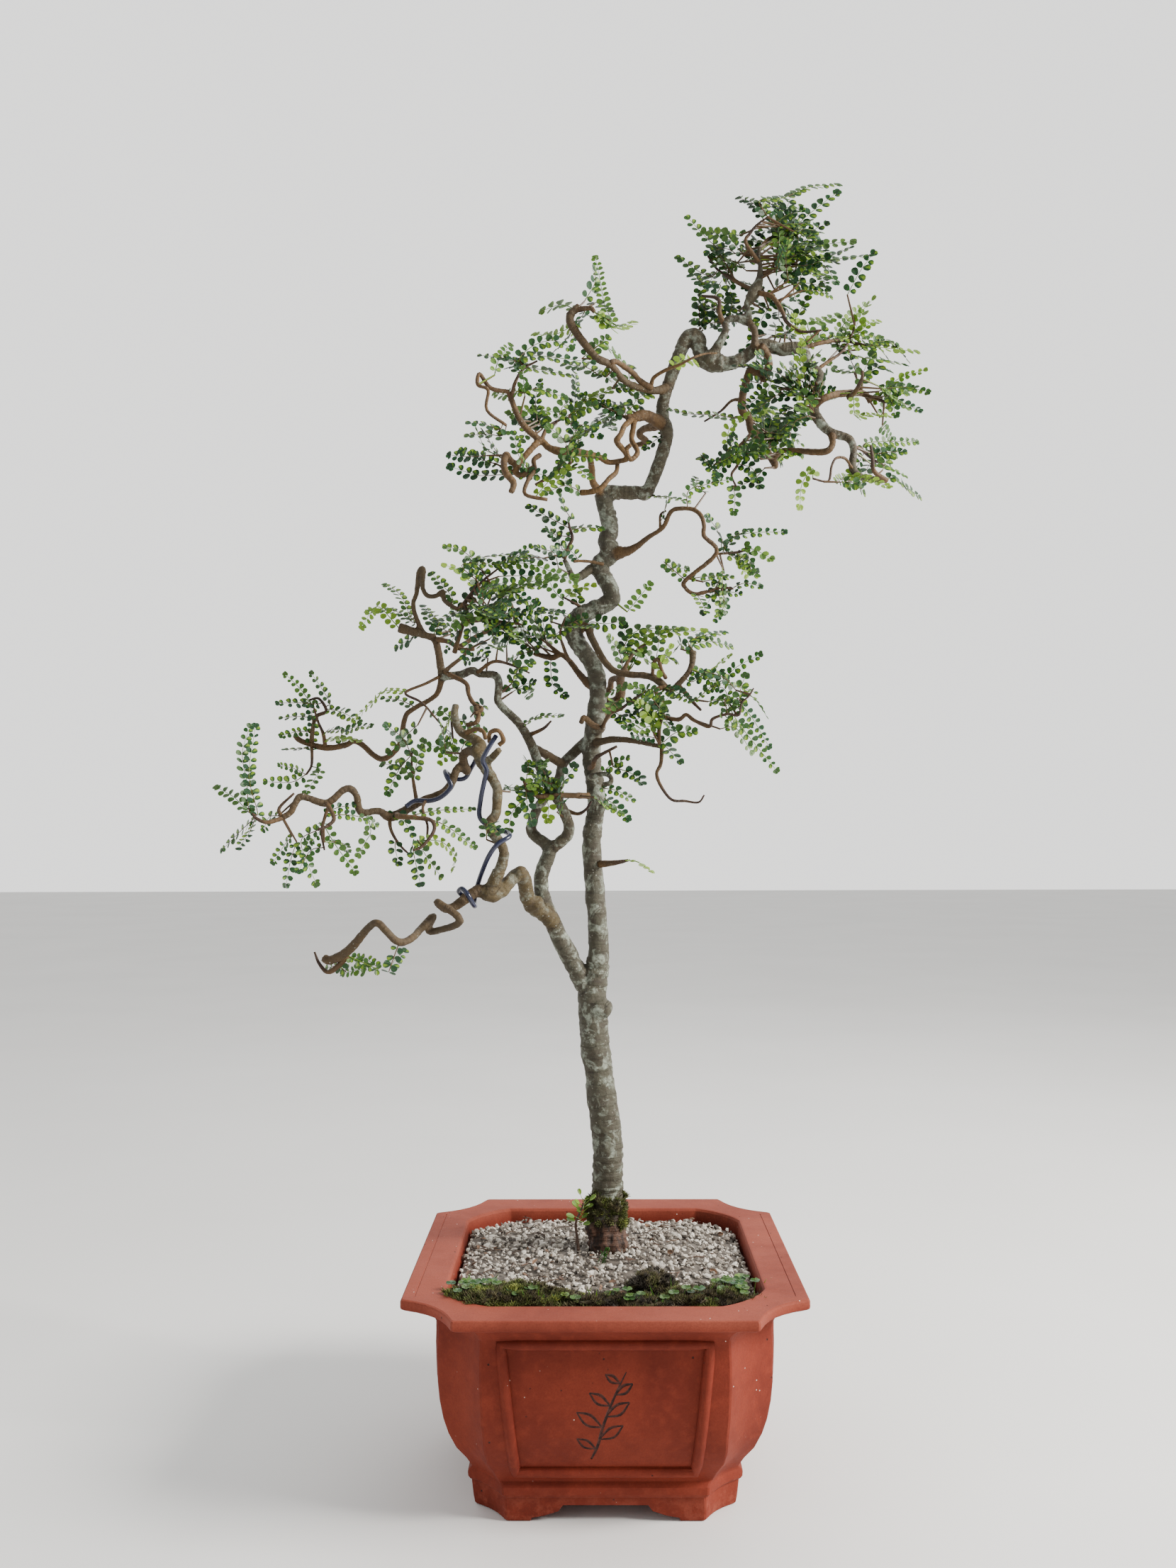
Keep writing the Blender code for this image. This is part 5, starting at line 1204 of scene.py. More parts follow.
def stood_for(name: str) -> list[str]:
    """The solid of this name, if there is one."""
    return [name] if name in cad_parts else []


@dataclass
class Ground:
    """The gravel mound with its loose stones and bits, and the moss on it."""

    stone: Material
    moss: Material
    litter: Material
    rng: random.Random
    edge: float = -8.5
    crown: float = -1.0
    half: float = 101
    cut: float = 31
    stones: int = 4200
    stone_sizes: tuple[float, float] = (1.4, 6.8)
    bits: int = 150
    tuft_sizes: tuple[float, float] = (1.3, 4.4)
    trunk: tuple[float, float] = (3, 11)
    # Each cushion's node, its middle and half sizes, how bright it is and how many tufts it has.
    cushions: tuple[tuple[str, tuple[float, ...], float, int], ...] = (
        ("moss_cushion_left", (-62, -84, -7, 38, 18, 10.5), 0.5, 2300),
        ("moss_cushion_centre", (0, -91, -7.5, 44, 12, 7), 0.27, 1500),
        ("moss_cushion_right", (60, -83, -7.5, 40, 18, 7.5), 0.33, 1700),
        ("moss_tuft_centre", (31, -62, -5, 13, 17, 9), 0.16, 700),
    )

    def height(self, x: float, y: float) -> float:
        """How high the mound is at a place."""
        away = min(1.0, max(abs(x), abs(y), (abs(x) + abs(y)) / 1.7) / self.half)
        swell = 1.6 * noise.noise(Vector((x, y, 0)) / 26) + 0.7 * noise.noise(Vector((x, y, 9)) / 9)
        return self.edge + (self.crown - self.edge) * (1 - away ** 2) + swell

    def inside(self, x: float, y: float, room: float = 1.5) -> bool:
        """Whether a place lies inside the pot's mouth and outside the trunk."""
        free = max(abs(x), abs(y)) < self.half - room and abs(x) + abs(y) < 2 * self.half - self.cut - room
        return free and math.hypot(x - self.trunk[0], y - self.trunk[1]) > 11

    def stone_templates(self) -> list[bpy.types.Mesh]:
        """Fourteen angular stones, each about one unit across."""
        made = []
        for _ in range(14):
            bm = bmesh.new()
            bmesh.ops.create_icosphere(bm, subdivisions=1, radius=0.5)
            for v in bm.verts:
                v.co *= self.rng.uniform(0.62, 1.2)
            flatness = (1, self.rng.uniform(0.65, 0.95), self.rng.uniform(0.45, 0.8))
            bmesh.ops.scale(bm, vec=flatness, verts=bm.verts)
            hull = bmesh.ops.convex_hull(bm, input=bm.verts)
            spare = points_in(hull["geom_interior"] + hull["geom_unused"])
            bmesh.ops.delete(bm, geom=list(set(spare)), context="VERTS")
            made.append(template_of(bm))
        return made

    def turn(self) -> Matrix:
        """A random way round, tipped a little."""
        spin = Matrix.Rotation(self.rng.uniform(0, FULL_TURN), 4, "Z")
        nod = Matrix.Rotation(self.rng.gauss(0, 0.5), 4, "X")
        return spin @ nod @ Matrix.Rotation(self.rng.gauss(0, 0.5), 4, "Y")

    def shaded_bed(self) -> bpy.types.Mesh:
        """The closed mound that the stones lie on; its dark tint shows as painted shade between them."""
        shaded_bed = bmesh.new()
        bmesh.ops.create_grid(shaded_bed, x_segments=70, y_segments=70, size=self.half * 0.985)
        corner = [f for f in shaded_bed.faces if abs(f.calc_center_median().x) + abs(f.calc_center_median().y) > 168]
        bmesh.ops.delete(shaded_bed, geom=corner, context="FACES")
        for v in shaded_bed.verts:
            v.co = bench(v.co.x, v.co.y, self.height(v.co.x, v.co.y) - 1.6)
        walls = bmesh.ops.extrude_face_region(shaded_bed, geom=list(shaded_bed.faces))["geom"]
        bmesh.ops.translate(shaded_bed, vec=(0, 0, -6 * MM), verts=points_in(walls))
        bmesh.ops.recalc_face_normals(shaded_bed, faces=shaded_bed.faces)
        return template_of(shaded_bed)

    def gravel(self) -> None:
        """The mound and its stones, which stand for the gravel dressing."""
        heap = Stamps()
        # The mound takes a tint near the darkest gravel colour: painted shade in the gaps between the stones.
        heap.add(self.shaded_bed(), Matrix.Identity(4), 0.1)
        templates = self.stone_templates()
        least, most = self.stone_sizes
        for _ in range(self.stones):
            x, y = self.rng.uniform(-self.half, self.half), self.rng.uniform(-self.half, self.half)
            if not self.inside(x, y):
                continue
            size = min(most, max(least, self.rng.lognormvariate(1.08, 0.36))) * MM
            z = self.height(x, y) - 0.4 + self.rng.uniform(-0.5, 1.0)
            place = Matrix.Translation(bench(x, y, z)) @ self.turn() @ Matrix.Scale(size, 4)
            heap.add(self.rng.choice(templates), place, self.rng.betavariate(1.1, 1.1))
        heap.piece("fine_gravel", self.stone, "gravel", "gravel_dressing")

    def debris(self) -> None:
        """Fallen twigs and dry leaflets on the gravel."""
        bits = Stamps()
        dry = leaflet_template(0.55, 0.35)
        for _ in range(self.bits):
            x, y = self.rng.uniform(-96, 96), self.rng.uniform(-96, 96)
            if not self.inside(x, y, 6):
                continue
            place = bench(x, y, self.height(x, y) + 2.0)
            if self.rng.random() < 0.55:
                spin = Matrix.Rotation(self.rng.uniform(0, FULL_TURN), 3, "Z")
                reach = spin @ Vector((self.rng.uniform(3, 13), 0, self.rng.gauss(0.3, 0.8)))
                bend = place + reach * MM * 0.5 + Vector((0, 0, self.rng.uniform(0, 0.001)))
                thick = self.rng.uniform(0.25, 0.6) * MM
                tint = self.rng.uniform(0, 0.5)
                bits.rod(place, bend, (thick, thick * 0.8), tint, 5)
                bits.rod(bend, place + reach * MM, (thick * 0.8, thick * 0.5), tint, 5)
            else:
                size = self.rng.uniform(3, 6) * MM
                lie = Matrix.Translation(place) @ self.turn() @ Matrix.Scale(size, 4)
                bits.add(dry, lie, self.rng.uniform(0.4, 1))
        bits.piece("fine_litter", self.litter, "shoot_bark")

    def tuft(self) -> bpy.types.Mesh:
        """A star of small pointed blades, one unit high."""
        bm = bmesh.new()
        for i in range(6):
            lean = Matrix.Rotation(i * 1.047 + 0.3, 4, "Z") @ Matrix.Rotation(0.75 if i % 2 else 0.35, 4, "X")
            bmesh.ops.create_cone(bm, segments=3, radius1=0.17, radius2=0.02, depth=1, cap_ends=True,
                                  matrix=lean @ Matrix.Translation((0, 0, 0.45)))
        return template_of(bm)

    def cushion(self, node: str, middle: Vector, half: Vector, tint: float, count: int,
                bore: bool = False) -> None:
        """One cushion of moss: a lumpy body covered in tufts.

        Args:
            node: the solid that it stands for.
            middle: its middle, in millimetres from the rim's.
            half: its half sizes.
            tint: how brown to bright it is.
            count: how many tufts cover it.
            bore: whether it is a ring round the trunk.
        """
        growth = Stamps()
        body = bmesh.new()
        bmesh.ops.create_icosphere(body, subdivisions=5, radius=1)
        surface = []
        for v in body.verts:
            lump = 1 + 0.55 * noise.noise(v.co * 2.4 + middle / 7) + 0.16 * noise.noise(v.co * 6 + middle)
            at = Vector(a * b for a, b in zip(v.co, half)) * lump + middle
            surface.append((at, v.co.copy()))
            v.co = bench(*at)
        growth.add(template_of(body), Matrix.Identity(4), tint - 0.12)
        star = self.tuft()
        for at, out in self.rng.choices(surface, k=count * 3):
            hidden = not bore and (at.z < self.height(at.x, at.y) - 1 or max(abs(at.x), abs(at.y)) > 103)
            if hidden or count == 0 or (bore and abs(out.z) > 0.95):
                continue
            count -= 1
            up = (out + Vector((self.rng.gauss(0, 0.3), self.rng.gauss(0, 0.3), 0.5))).normalized()
            x, y, _ = frame_of(up.orthogonal(), up)
            size = self.rng.uniform(*self.tuft_sizes) * MM
            patch = 0.75 * noise.noise(at / 9) + self.rng.gauss(0, 0.15)
            growth.add(star, axes(x, y, up, bench(*at), size), tint + patch)
        growth.piece("fine_" + node, self.moss, "moss", node)

    def build(self) -> None:
        """Makes the gravel, the litter and all the moss."""
        self.gravel()
        self.debris()
        for node, (x, y, z, a, b, c), tint, count in self.cushions:
            self.cushion(node, Vector((x, y, z)), Vector((a, b, c)), tint, count)
        self.cushion("moss_collar", Vector((2, 14, 26)), Vector((12.3, 12.3, 13)), 0.42, 1300, bore=True)


@dataclass
class SmallPlants:
    """The shoot beside the trunk, the seedling, the weeds in the moss and the grass."""

    green: Material
    stalk: Material
    rng: random.Random
    reach: float = 97.0  # how far from the middle the weeds may root
    shoot: tuple[tuple[float, ...], ...] = (
        (-18, 6, -3, 1.2), (-19, 5, 8, 1), (-20, 4, 18, 0.9), (-17, 3, 26, 0.8), (-14, 2, 33, 0.5))
    grass_roots: tuple[tuple[float, float], ...] = (
        (-70, -84), (-48, -88), (0, -88), (30, -84), (74, -78), (88, -60), (-88, -60))

    def leaf(self, stems: Stamps, blade: bpy.types.Mesh, root: Vector, tip: Vector, size: float,
             tint: float) -> None:
        """A stalk from root to tip in millimetres with one blade at its end."""
        a, b = bench(*root), bench(*tip)
        stems.rod(a, b, (0.28 * MM, 0.2 * MM), tint - 0.1)
        out = (tip - root).normalized() + Vector((self.rng.gauss(0, 0.3), -0.2, -0.1))
        x, y, z = frame_of(out, Vector((0.1, -0.55, 0.8)))
        stems.add(blade, axes(x, y, z, b, size * MM), tint)

    def basal_shoot(self) -> None:
        """The straight young shoot with its ring of bright leaves."""
        bark = cord_mesh(smooth_route(list(self.shoot), 3), 8)
        stem = Stamps()
        stem.add(bark, Matrix.Identity(4), 0.25)
        stem.piece("fine_shoot_stem", self.stalk, "shoot_bark", "basal_shoot_stem", smooth=True)
        leaves, blade = Stamps(), leaflet_template(0.62, 0.2, 12)
        for i in range(15):
            top = Vector((-18 + i * 0.3, 3, 17 + i * 1.1))
            way = Matrix.Rotation(i * GOLDEN_TURN, 3, "Z") @ Vector((1, 0, 0.35 + i * 0.05))
            self.leaf(leaves, blade, top, top + way * (3 + i % 3), self.rng.uniform(4, 6.5), 0.8 + 0.01 * i)
        leaves.piece("fine_shoot_leaves", self.green, "young_leaf", "basal_shoot_leaves")

    def seedling(self) -> None:
        """A tiny seedling at the foot of the trunk."""
        stems, blade = Stamps(), leaflet_template(0.5, 0.25, 8)
        for i in range(9):
            root = Vector((-2 + self.rng.gauss(0, 1), -22, -1))
            way = Vector((self.rng.gauss(0, 2.4), self.rng.gauss(-1, 1.5), self.rng.uniform(4, 9)))
            self.leaf(stems, blade, root, root + way, self.rng.uniform(2.5, 4.5), self.rng.uniform(0.4, 0.7))
        stems.piece("fine_seedling", self.green, "young_leaf", "seedling")

    def clover(self, name: str, middle: Vector, spread: Vector, count: int) -> None:
        """A patch of three-leaved weeds on thin stalks."""
        stems, blade = Stamps(), leaflet_template(0.95, 0.22, 10)
        for _ in range(count):
            root = middle + Vector((self.rng.gauss(0, 0.5) * spread.x, self.rng.gauss(0, 0.5) * spread.y, -7))
            root.x, root.y = max(-self.reach, min(self.reach, root.x)), max(-self.reach, root.y)
            top = root + Vector((self.rng.gauss(0, 2.5), self.rng.gauss(-1, 2), self.rng.uniform(4, 11)))
            tint, size = self.rng.uniform(0.36, 0.76), self.rng.uniform(2.6, 4.8) * MM
            stems.rod(bench(*root), bench(*top), (0.3 * MM, 0.2 * MM), tint)
            start = self.rng.uniform(0, 2)
            for k in range(3):
                out = Matrix.Rotation(start + k * 2.094, 3, "Z") @ Vector((1, 0, 0.15))
                x, y, z = frame_of(out, Vector((0, -0.35, 0.9)))
                stems.add(blade, axes(x, y, z, bench(*top), size), tint + self.rng.gauss(0, 0.04))
        stems.piece("fine_" + name, self.green, "young_leaf", *stood_for(name))

    def grass(self) -> None:
        """Single blades of grass that come up through the moss."""
        blades, blade = Stamps(), leaflet_template(0.035, 0.2, 6, 0.008)
        for _ in range(46):
            x, y = self.rng.choice(self.grass_roots)
            root = bench(x + self.rng.gauss(0, 9), y + self.rng.gauss(0, 4), -6)
            up = Vector((self.rng.gauss(0, 0.45), self.rng.gauss(-0.1, 0.3), 1)).normalized()
            a, b, c = frame_of(up, Vector((self.rng.gauss(0, 0.4), -1, 0.2)))
            size = self.rng.uniform(6, 15) * MM
            blades.add(blade, axes(a, b, c, root, size), self.rng.uniform(0.5, 0.9))
        blades.piece("fine_grass", self.green, "young_leaf")

    def build(self) -> None:
        """Makes all the small plants."""
        self.basal_shoot()
        self.seedling()
        self.clover("clover_left", Vector((-84, -76, 2)), Vector((15, 12, 0)), 34)
        self.clover("clover_right", Vector((84, -68, 1)), Vector((15, 14, 0)), 30)
        self.clover("clover_front", Vector((10, -88, 1)), Vector((110, 9, 0)), 34)
        self.grass()


class Age(Enum):
    """What a limb's bark looks like: (age, ochre, olive)."""

    TRUNK = (1.0, 0.0, 0.0)
    OLD = (0.8, 0.0, 0.1)
    OLIVE = (0.62, 0.0, 0.75)
    BROWN = (0.45, 0.0, 0.1)
    YOUNG = (0.24, 0.15, 0.0)
    OCHRE = (0.25, 0.8, 0.0)
    TIP = (0.06, 0.0, 0.0)


@dataclass
class Wood:
    """The grown wood: limbs that run into each other, and thin twigs on them."""

    bark: Material
    voxel: float = 1.2
    least: float = 1.3
    swell: float = 0.35  # added to each radius, because the remesh takes about that much off
    lumps: float = 0.12
    twig_swell: float = 1.18
    neighbours: int = 16
    blended: int = 4
    looks: dict[str, Age] = field(default_factory=lambda: {
        "main_trunk": Age.TRUNK, "leader": Age.OLD, "left_stem": Age.TRUNK, "fork_right_arm": Age.OLD,
        "fork_left_arm": Age.OLD, "cross_link": Age.BROWN, "stub_limb": Age.BROWN, "wired_arch": Age.OLIVE,
        "wired_upright": Age.OLIVE, "wired_prong": Age.OLIVE, "wired_top": Age.OLIVE, "wired_back": Age.BROWN,
        "low_left_limb": Age.BROWN, "trunk_crook": Age.OLD, "crown_riser": Age.OLD, "crown_post": Age.BROWN,
        "ochre_ring": Age.OCHRE, "ochre_post": Age.OCHRE, "trunk_coil": Age.OLD,
        "upper_left_branch": Age.BROWN, "right_loop_branch": Age.BROWN, "low_right_branch": Age.BROWN,
        "hook_loop": Age.BROWN})
    knobs: tuple[tuple[float, ...], ...] = (
        (-8.5, 5, 14, 5), (11, 6, 7, 5), (78, -12, 634, 6.8), (84, -12, 632, 6), (109, -18, 680, 4.6),
        (-47, -12, 246, 5.5), (-8, 4, 300, 5.4), (-4, 2, 372, 6.2), (-17, -2, 452, 5.2), (4, -3, 500, 6),
        (47, -8, 584, 4.6), (-51, 0, 300, 3.6), (-57, -33, 268, 5.2), (96, -14, 632, 3.9), (153, -18, 612, 4),
        (-2, 8, 170, 8.4))
    root_line: Route = field(default_factory=lambda: [
        (4, 0, 32), (7.5, 0, 19), (9.3, 0, 8), (10.5, 0, 0), (12, 2, -9)])
    root_radii: tuple[float, ...] = (5.5, 4.8, 4.4, 4, 3)
    samples: list[tuple[Vector, float, Age, float]] = field(default_factory=list)
    thick: int = 0

    def trace(self) -> None:
        """Walks every route in small steps and remembers what the wood is like there."""
        for name, route in STEMS.items():
            look = self.looks.get(name, Age.YOUNG)
            along = 0.0
            points = smooth_route(route, 10)
            for (x, y, z, r), after in zip(points, points[1:] + points[-1:]):
                self.samples.append((Vector((x, y, z)), r, look, along))
                along += math.dist((x, y, z), after[:3])
        self.thick = len(self.samples)
        for name, (start, end, route) in TWIGS.items():
            look = Age.OCHRE if "ochre" in name else Age.TIP if end < 0.8 else Age.YOUNG
            points = smooth_route(route, 6)
            for i, (x, y, z) in enumerate(points):
                share = i / len(points)
                here = Age.YOUNG if share < 0.4 and look is Age.TIP else look
                self.samples.append((Vector((x, y, z)), start + (end - start) * share, here, i * 1.5))

    def depth_at(self, x: float, z: float) -> Vector:
        """The middle of the wood that is nearest to a place seen from the front."""
        return min(self.samples, key=lambda s: (s[0].x - x) ** 2 + (s[0].z - z) ** 2)[0]

    def tree_of(self, which: range) -> kdtree.KDTree:
        """Some of the samples, ready to be searched."""
        tree = kdtree.KDTree(len(which))
        for i in which:
            tree.insert(self.samples[i][0], i)
        tree.balance()
        return tree

    def limbs(self) -> bmesh.types.BMesh:
        """All the limbs' cords and knobs, still overlapping."""
        bm = bmesh.new()
        for name, route in STEMS.items():
            points = smooth_route(route, 4)
            bm.from_mesh(cord_mesh([(x, y, z, max(r + self.swell, self.least)) for x, y, z, r in points], 16))
        for x, y, z, r in self.knobs:
            place = Matrix.Translation(bench(x, y, z))
            bmesh.ops.create_icosphere(bm, subdivisions=3, radius=r * MM, matrix=place)
        for i in range(9):
            turn = Matrix.Rotation(i * 0.698 + 0.3, 3, "Z")
            further = (0, 0, 0, i % 3 * 0.8, 0)
            out = [turn @ Vector((x + more, y, z)) for (x, y, z), more in zip(self.root_line, further)]
            root = [(3 + p.x, 12 + p.y, p.z, r) for p, r in zip(out, self.root_radii)]
            bm.from_mesh(cord_mesh(smooth_route(root, 4), 12))
        return bm

    def grown(self) -> bpy.types.Object:
        """The limbs made one skin."""
        obj = mesh_object("fine_wood", self.limbs(), self.bark)
        remesh = obj.modifiers.new("skin", "REMESH")
        remesh.mode = "VOXEL"
        remesh.voxel_size = self.voxel * MM
        remesh.use_smooth_shade = True
        mesh = settled(obj)
        obj.modifiers.clear()
        obj.data = mesh
        return obj

    def roughen(self, mesh: bpy.types.Mesh, tree: kdtree.KDTree, strength: float) -> None:
        """Lifts the bark into lumps and rings, and stores what it looks like at each point.

        Args:
            mesh: the wood's mesh, which is changed.
            tree: the traced samples.
            strength: how strong the lumps are, from 0 for none.
        """
        bm = bmesh.new()
        bm.from_mesh(mesh)
        if strength:
            bmesh.ops.smooth_vert(bm, verts=bm.verts, factor=0.5, use_axis_x=True, use_axis_y=True,
                                  use_axis_z=True)
        bm.normal_update()
        stored: dict[str, list[float]] = {"age": [], "ochre": [], "olive": [], "along": [], "root": []}
        for v in bm.verts:
            at = (v.co - POT_MIDDLE) / MM
            found = tree.find_n(at, self.neighbours)
            near = sorted((max(0.0, gap - self.samples[i][1]), i) for _, i, gap in found)[:self.blended]
            weights = [1 / (0.3 + gap) for gap, _ in near]
            total = sum(weights)
            looks = [self.samples[i][2].value for _, i in near]
            blend = [sum(w * look[i] for w, look in zip(weights, looks)) / total for i in range(3)]
            _, radius, _, along = self.samples[near[0][1]]
            stored["age"].append(blend[0] + 0.12 * noise.noise(at / 14))
            stored["ochre"].append(blend[1])
            stored["olive"].append(blend[2])
            stored["along"].append(along)
            stored["root"].append(min(1.0, max(0.0, (30 - at.z) / 14)) if abs(at.x) < 40 else 0.0)
            if strength:
                lump = noise.noise(at / (1.7 * radius + 1))
                lump += 0.25 * noise.noise(at / 3) + 0.1 * noise.noise(at / 1.5)
                ring = 0.35 * math.sin(along * 0.9 + 3 * noise.noise(at / 9)) * min(1.0, radius / 6)
                v.co += v.normal * MM * strength * self.lumps * radius * (lump + ring)
        bm.to_mesh(mesh)
        bm.free()
        for name, values in stored.items():
            numbers(mesh, name, np.array(values))

    def build(self) -> None:
        """Makes the limbs and the twigs."""
        self.trace()
        limbs = self.grown()
        self.roughen(limbs.data, self.tree_of(range(self.thick)), 1.0)
        finished(limbs, "bark", "trunk_and_branches")
        bm = bmesh.new()
        for start, end, route in TWIGS.values():
            points = smooth_route(route, 5)
            wobble = [1 + 0.16 * noise.noise(Vector(p) / 2.4) for p in points]
            radii = [self.twig_swell * (start + (end - start) * i / len(points)) for i in range(len(points))]
            bm.from_mesh(cord_mesh([(*p, r * w) for p, r, w in zip(points, radii, wobble)], 8))
        twigs = mesh_object("fine_twigs", bm, self.bark)
        self.roughen(twigs.data, self.tree_of(range(self.thick, len(self.samples))), 0.0)
        finished(twigs, "bark")


@dataclass
class Wires:
    """The training wires on the left limb."""

    coat: Material
    radius: float = 1.65
    upright: tuple[tuple[float, ...], ...] = (
        (-95, -43, 252), (-98, -47, 256), (-95, -52, 258), (-91, -55.5, 254), (-88, -53, 248),
        (-87, -47, 246), (-88, -41, 250), (-86, -38, 260), (-82, -46, 270), (-77, -55, 280),
        (-71, -57, 288), (-63.5, -52, 293), (-66, -43, 296), (-76, -41, 299), (-84, -43.5, 306),
        (-83.5, -44, 318), (-81, -46, 330), (-79, -50, 338), (-81, -56, 344), (-79, -58, 349),
        (-75, -58, 356), (-72, -56, 361))
    outer: tuple[tuple[float, ...], ...] = (
        (-85, -25, 361), (-88, -18, 350), (-94, -7, 341), (-98, -5, 335), (-104, -6, 334), (-109, -10, 337),
        (-111, -17, 339), (-109, -24, 335), (-106, -25, 328), (-112, -27, 321), (-120, -29, 318),
        (-130, -31, 318), (-136, -34, 314))

    def build(self) -> None:
        """Makes both wires."""
        for name, route in (("upright", self.upright), ("outer", self.outer)):
            line = [(*p, self.radius) for p in smooth_route(list(route), 8)]
            wire = cord_curve("fine_wire_" + name, line, 16)
            wire.data.materials.append(self.coat)
            for spline in wire.data.splines:
                spline.use_smooth = True
            finished(wire, "training_wire", "training_wire_" + name)


@dataclass
class Foliage:
    """The feathered leaves: a thin rib with pairs of oval leaflets, gathered spray by spray."""

    leaf: Material
    wood: Wood
    rng: random.Random
    length: float = 4.8
    short: float = 4.2
    gap: float = 5.2
    short_sprays: tuple[str, ...] = ("far_left", "low_", "right_bough", "right_far")
    shady_sprays: tuple[str, ...] = ("crown", "right_front", "right_back", "left_pad")
    templates: list[bpy.types.Mesh] = field(default_factory=list)

    def feather(self, out: Stamps, route: list[Vector], facing: Vector, tint: float, length: float) -> None:
        """One leaf.

        Args:
            out: what it is added to.
            route: its rib, in millimetres from the rim's middle.
            facing: which way its upper side faces.
            tint: its colour.
            length: how long its leaflets are.
        """
        rib = [Vector(p) for p in smooth_route([tuple(p) for p in route], 5)]
        total = sum((b - a).length for a, b in zip(rib, rib[1:]))
        size = length * self.rng.uniform(0.85, 1.2)
        gap = self.gap * size / length
        done, target = 0.0, self.rng.uniform(2, 4)
        for a, b in zip(rib, rib[1:]):
            thick = 0.42 * (1 - 0.6 * done / total) * MM
            out.rod(bench(*a), bench(*b), (thick, thick * 0.93), RIB_TINT if tint < 0.6 else tint - 0.05)
            step = b - a
            while target <= done + step.length:
                at = a.lerp(b, (target - done) / max(step.length, 1e-6))
                share = target / total
                along, across, up = frame_of(step, facing)
                for side in (-1, 1):
                    lean = self.rng.gauss(0.28 + 0.45 * share, 0.16)
                    way = across * side * math.cos(lean) + along * math.sin(lean)
                    lift = up + across * side * self.rng.gauss(-0.1, 0.22) + along * self.rng.gauss(0, 0.22)
                    x, y, z = frame_of(way, lift)
                    fullness = 0.72 + 0.5 * math.sin(math.pi * min(1, 0.15 + 0.8 * share))
                    big = size * fullness * self.rng.uniform(0.88, 1.1) * 0.9
                    place = axes(x, y, z, bench(*(at + way * 0.5)), big * MM)
                    out.add(self.rng.choice(self.templates), place, tint + self.rng.gauss(0, 0.05))
                target += gap
            done += step.length
        along, across, up = frame_of(rib[-1] - rib[-2], facing)
        for turn in (-0.45, 0.45):
            x, y, z = frame_of(along * math.cos(turn) + across * math.sin(turn), up)
            out.add(self.templates[0], axes(x, y, z, bench(*rib[-1]), size * 0.85 * MM), tint)

    def facing(self) -> Vector:
        """A leaf's upper side looks up and towards the light in front."""
        way = (self.rng.gauss(0.1, 0.28), self.rng.gauss(-0.74, 0.22), self.rng.gauss(0.5, 0.22))
        return Vector(way).normalized()

    def drawn(self, line: tuple[tuple[float, float], ...], depth: float) -> list[Vector]:
        """The rib of a leaf that is seen in front view.

        Args:
            line: its route as (x, z).
            depth: how far back the middle of its spray is.

        Returns:
            A route from the wood outwards.
        """
        base = self.wood.depth_at(*line[0])
        drift = max(-22.0, min(22.0, depth - base.y)) * 0.8 + self.rng.gauss(0, 4)
        route = [base.copy()] if math.hypot(base.x - line[0][0], base.z - line[0][1]) > 1 else []
        for i, (x, z) in enumerate(line):
            route.append(Vector((x, base.y + drift * (i + 0.15) / (len(line) - 1 + 0.15), z)))
        return route

    def spray(self, node: str, fill: int, sprigs: list[Sprig]) -> None:
        """All the leaves of one spray, which stand for its solid.

        Args:
            node: the spray's name, and its solid's if there is one.
            fill: how many leaves are scattered in its room.
            sprigs: its main leaves.
        """
        out = Stamps()
        weights = (5, 9, 5, 1, 0.3) if node.startswith(self.shady_sprays) else (3, 5, 7, 3, 1)
        length = self.short if node.startswith(self.short_sprays) else self.length
        # The low limb's leaves have no solid of their own and lie as deep as the fork's.
        low, high = ((corner - POT_MIDDLE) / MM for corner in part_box(*stood_for(node) or ["fork_leaves"]))
        middle, half = (low + high) / 2, (high - low) / 2
        gauss, uniform = self.rng.gauss, self.rng.uniform
        for tint, line in sprigs:
            route = self.drawn(line, middle.y)
            self.feather(out, route, self.facing(), tint.value + gauss(0, 0.03), length)
        for _ in range(fill):
            way = Vector((gauss(0, 1), gauss(0, 1), gauss(0, 1))).normalized()
            heart = middle + Vector(a * b for a, b in zip(way, half)) * uniform(0.1, 0.75)
            by_distance = sorted(self.wood.samples, key=lambda s: (s[0] - heart).length)
            near = by_distance[self.rng.randrange(0, 60)][0]
            stray = Vector((gauss(0, 0.3), 0, gauss(0.08, 0.16)))
            out_way = (heart - near).normalized() * 0.6 + way * 0.45 + stray
            reach = uniform(16, 32)
            start = near.lerp(heart, 0.0 if (heart - near).length < 26 else 0.4)
            tip = start + out_way.normalized() * reach
            bow = start.lerp(tip, 0.5) + Vector((gauss(0, 2), gauss(0, 2), gauss(2.5, 2)))
            tint = self.rng.choices(tuple(Tint), weights=weights)[0]
            if (start - near).length > 1:
                out.rod(bench(*near), bench(*start), (0.9 * MM, 0.6 * MM), RIB_TINT, 6)
            self.feather(out, [start, bow, tip], self.facing(), tint.value + gauss(0, 0.04), length)
        out.piece("fine_" + node, self.leaf, "leaf", *stood_for(node))

    def build(self) -> None:
        """Makes every spray."""
        for width, fold in ((0.8, 0.12), (0.86, 0.22), (0.76, 0.05), (0.82, -0.08)):
            self.templates.append(leaflet_template(width, fold, 10))
        for node, (fill, sprigs) in LEAVES.items():
            self.spray(node, fill, sprigs)


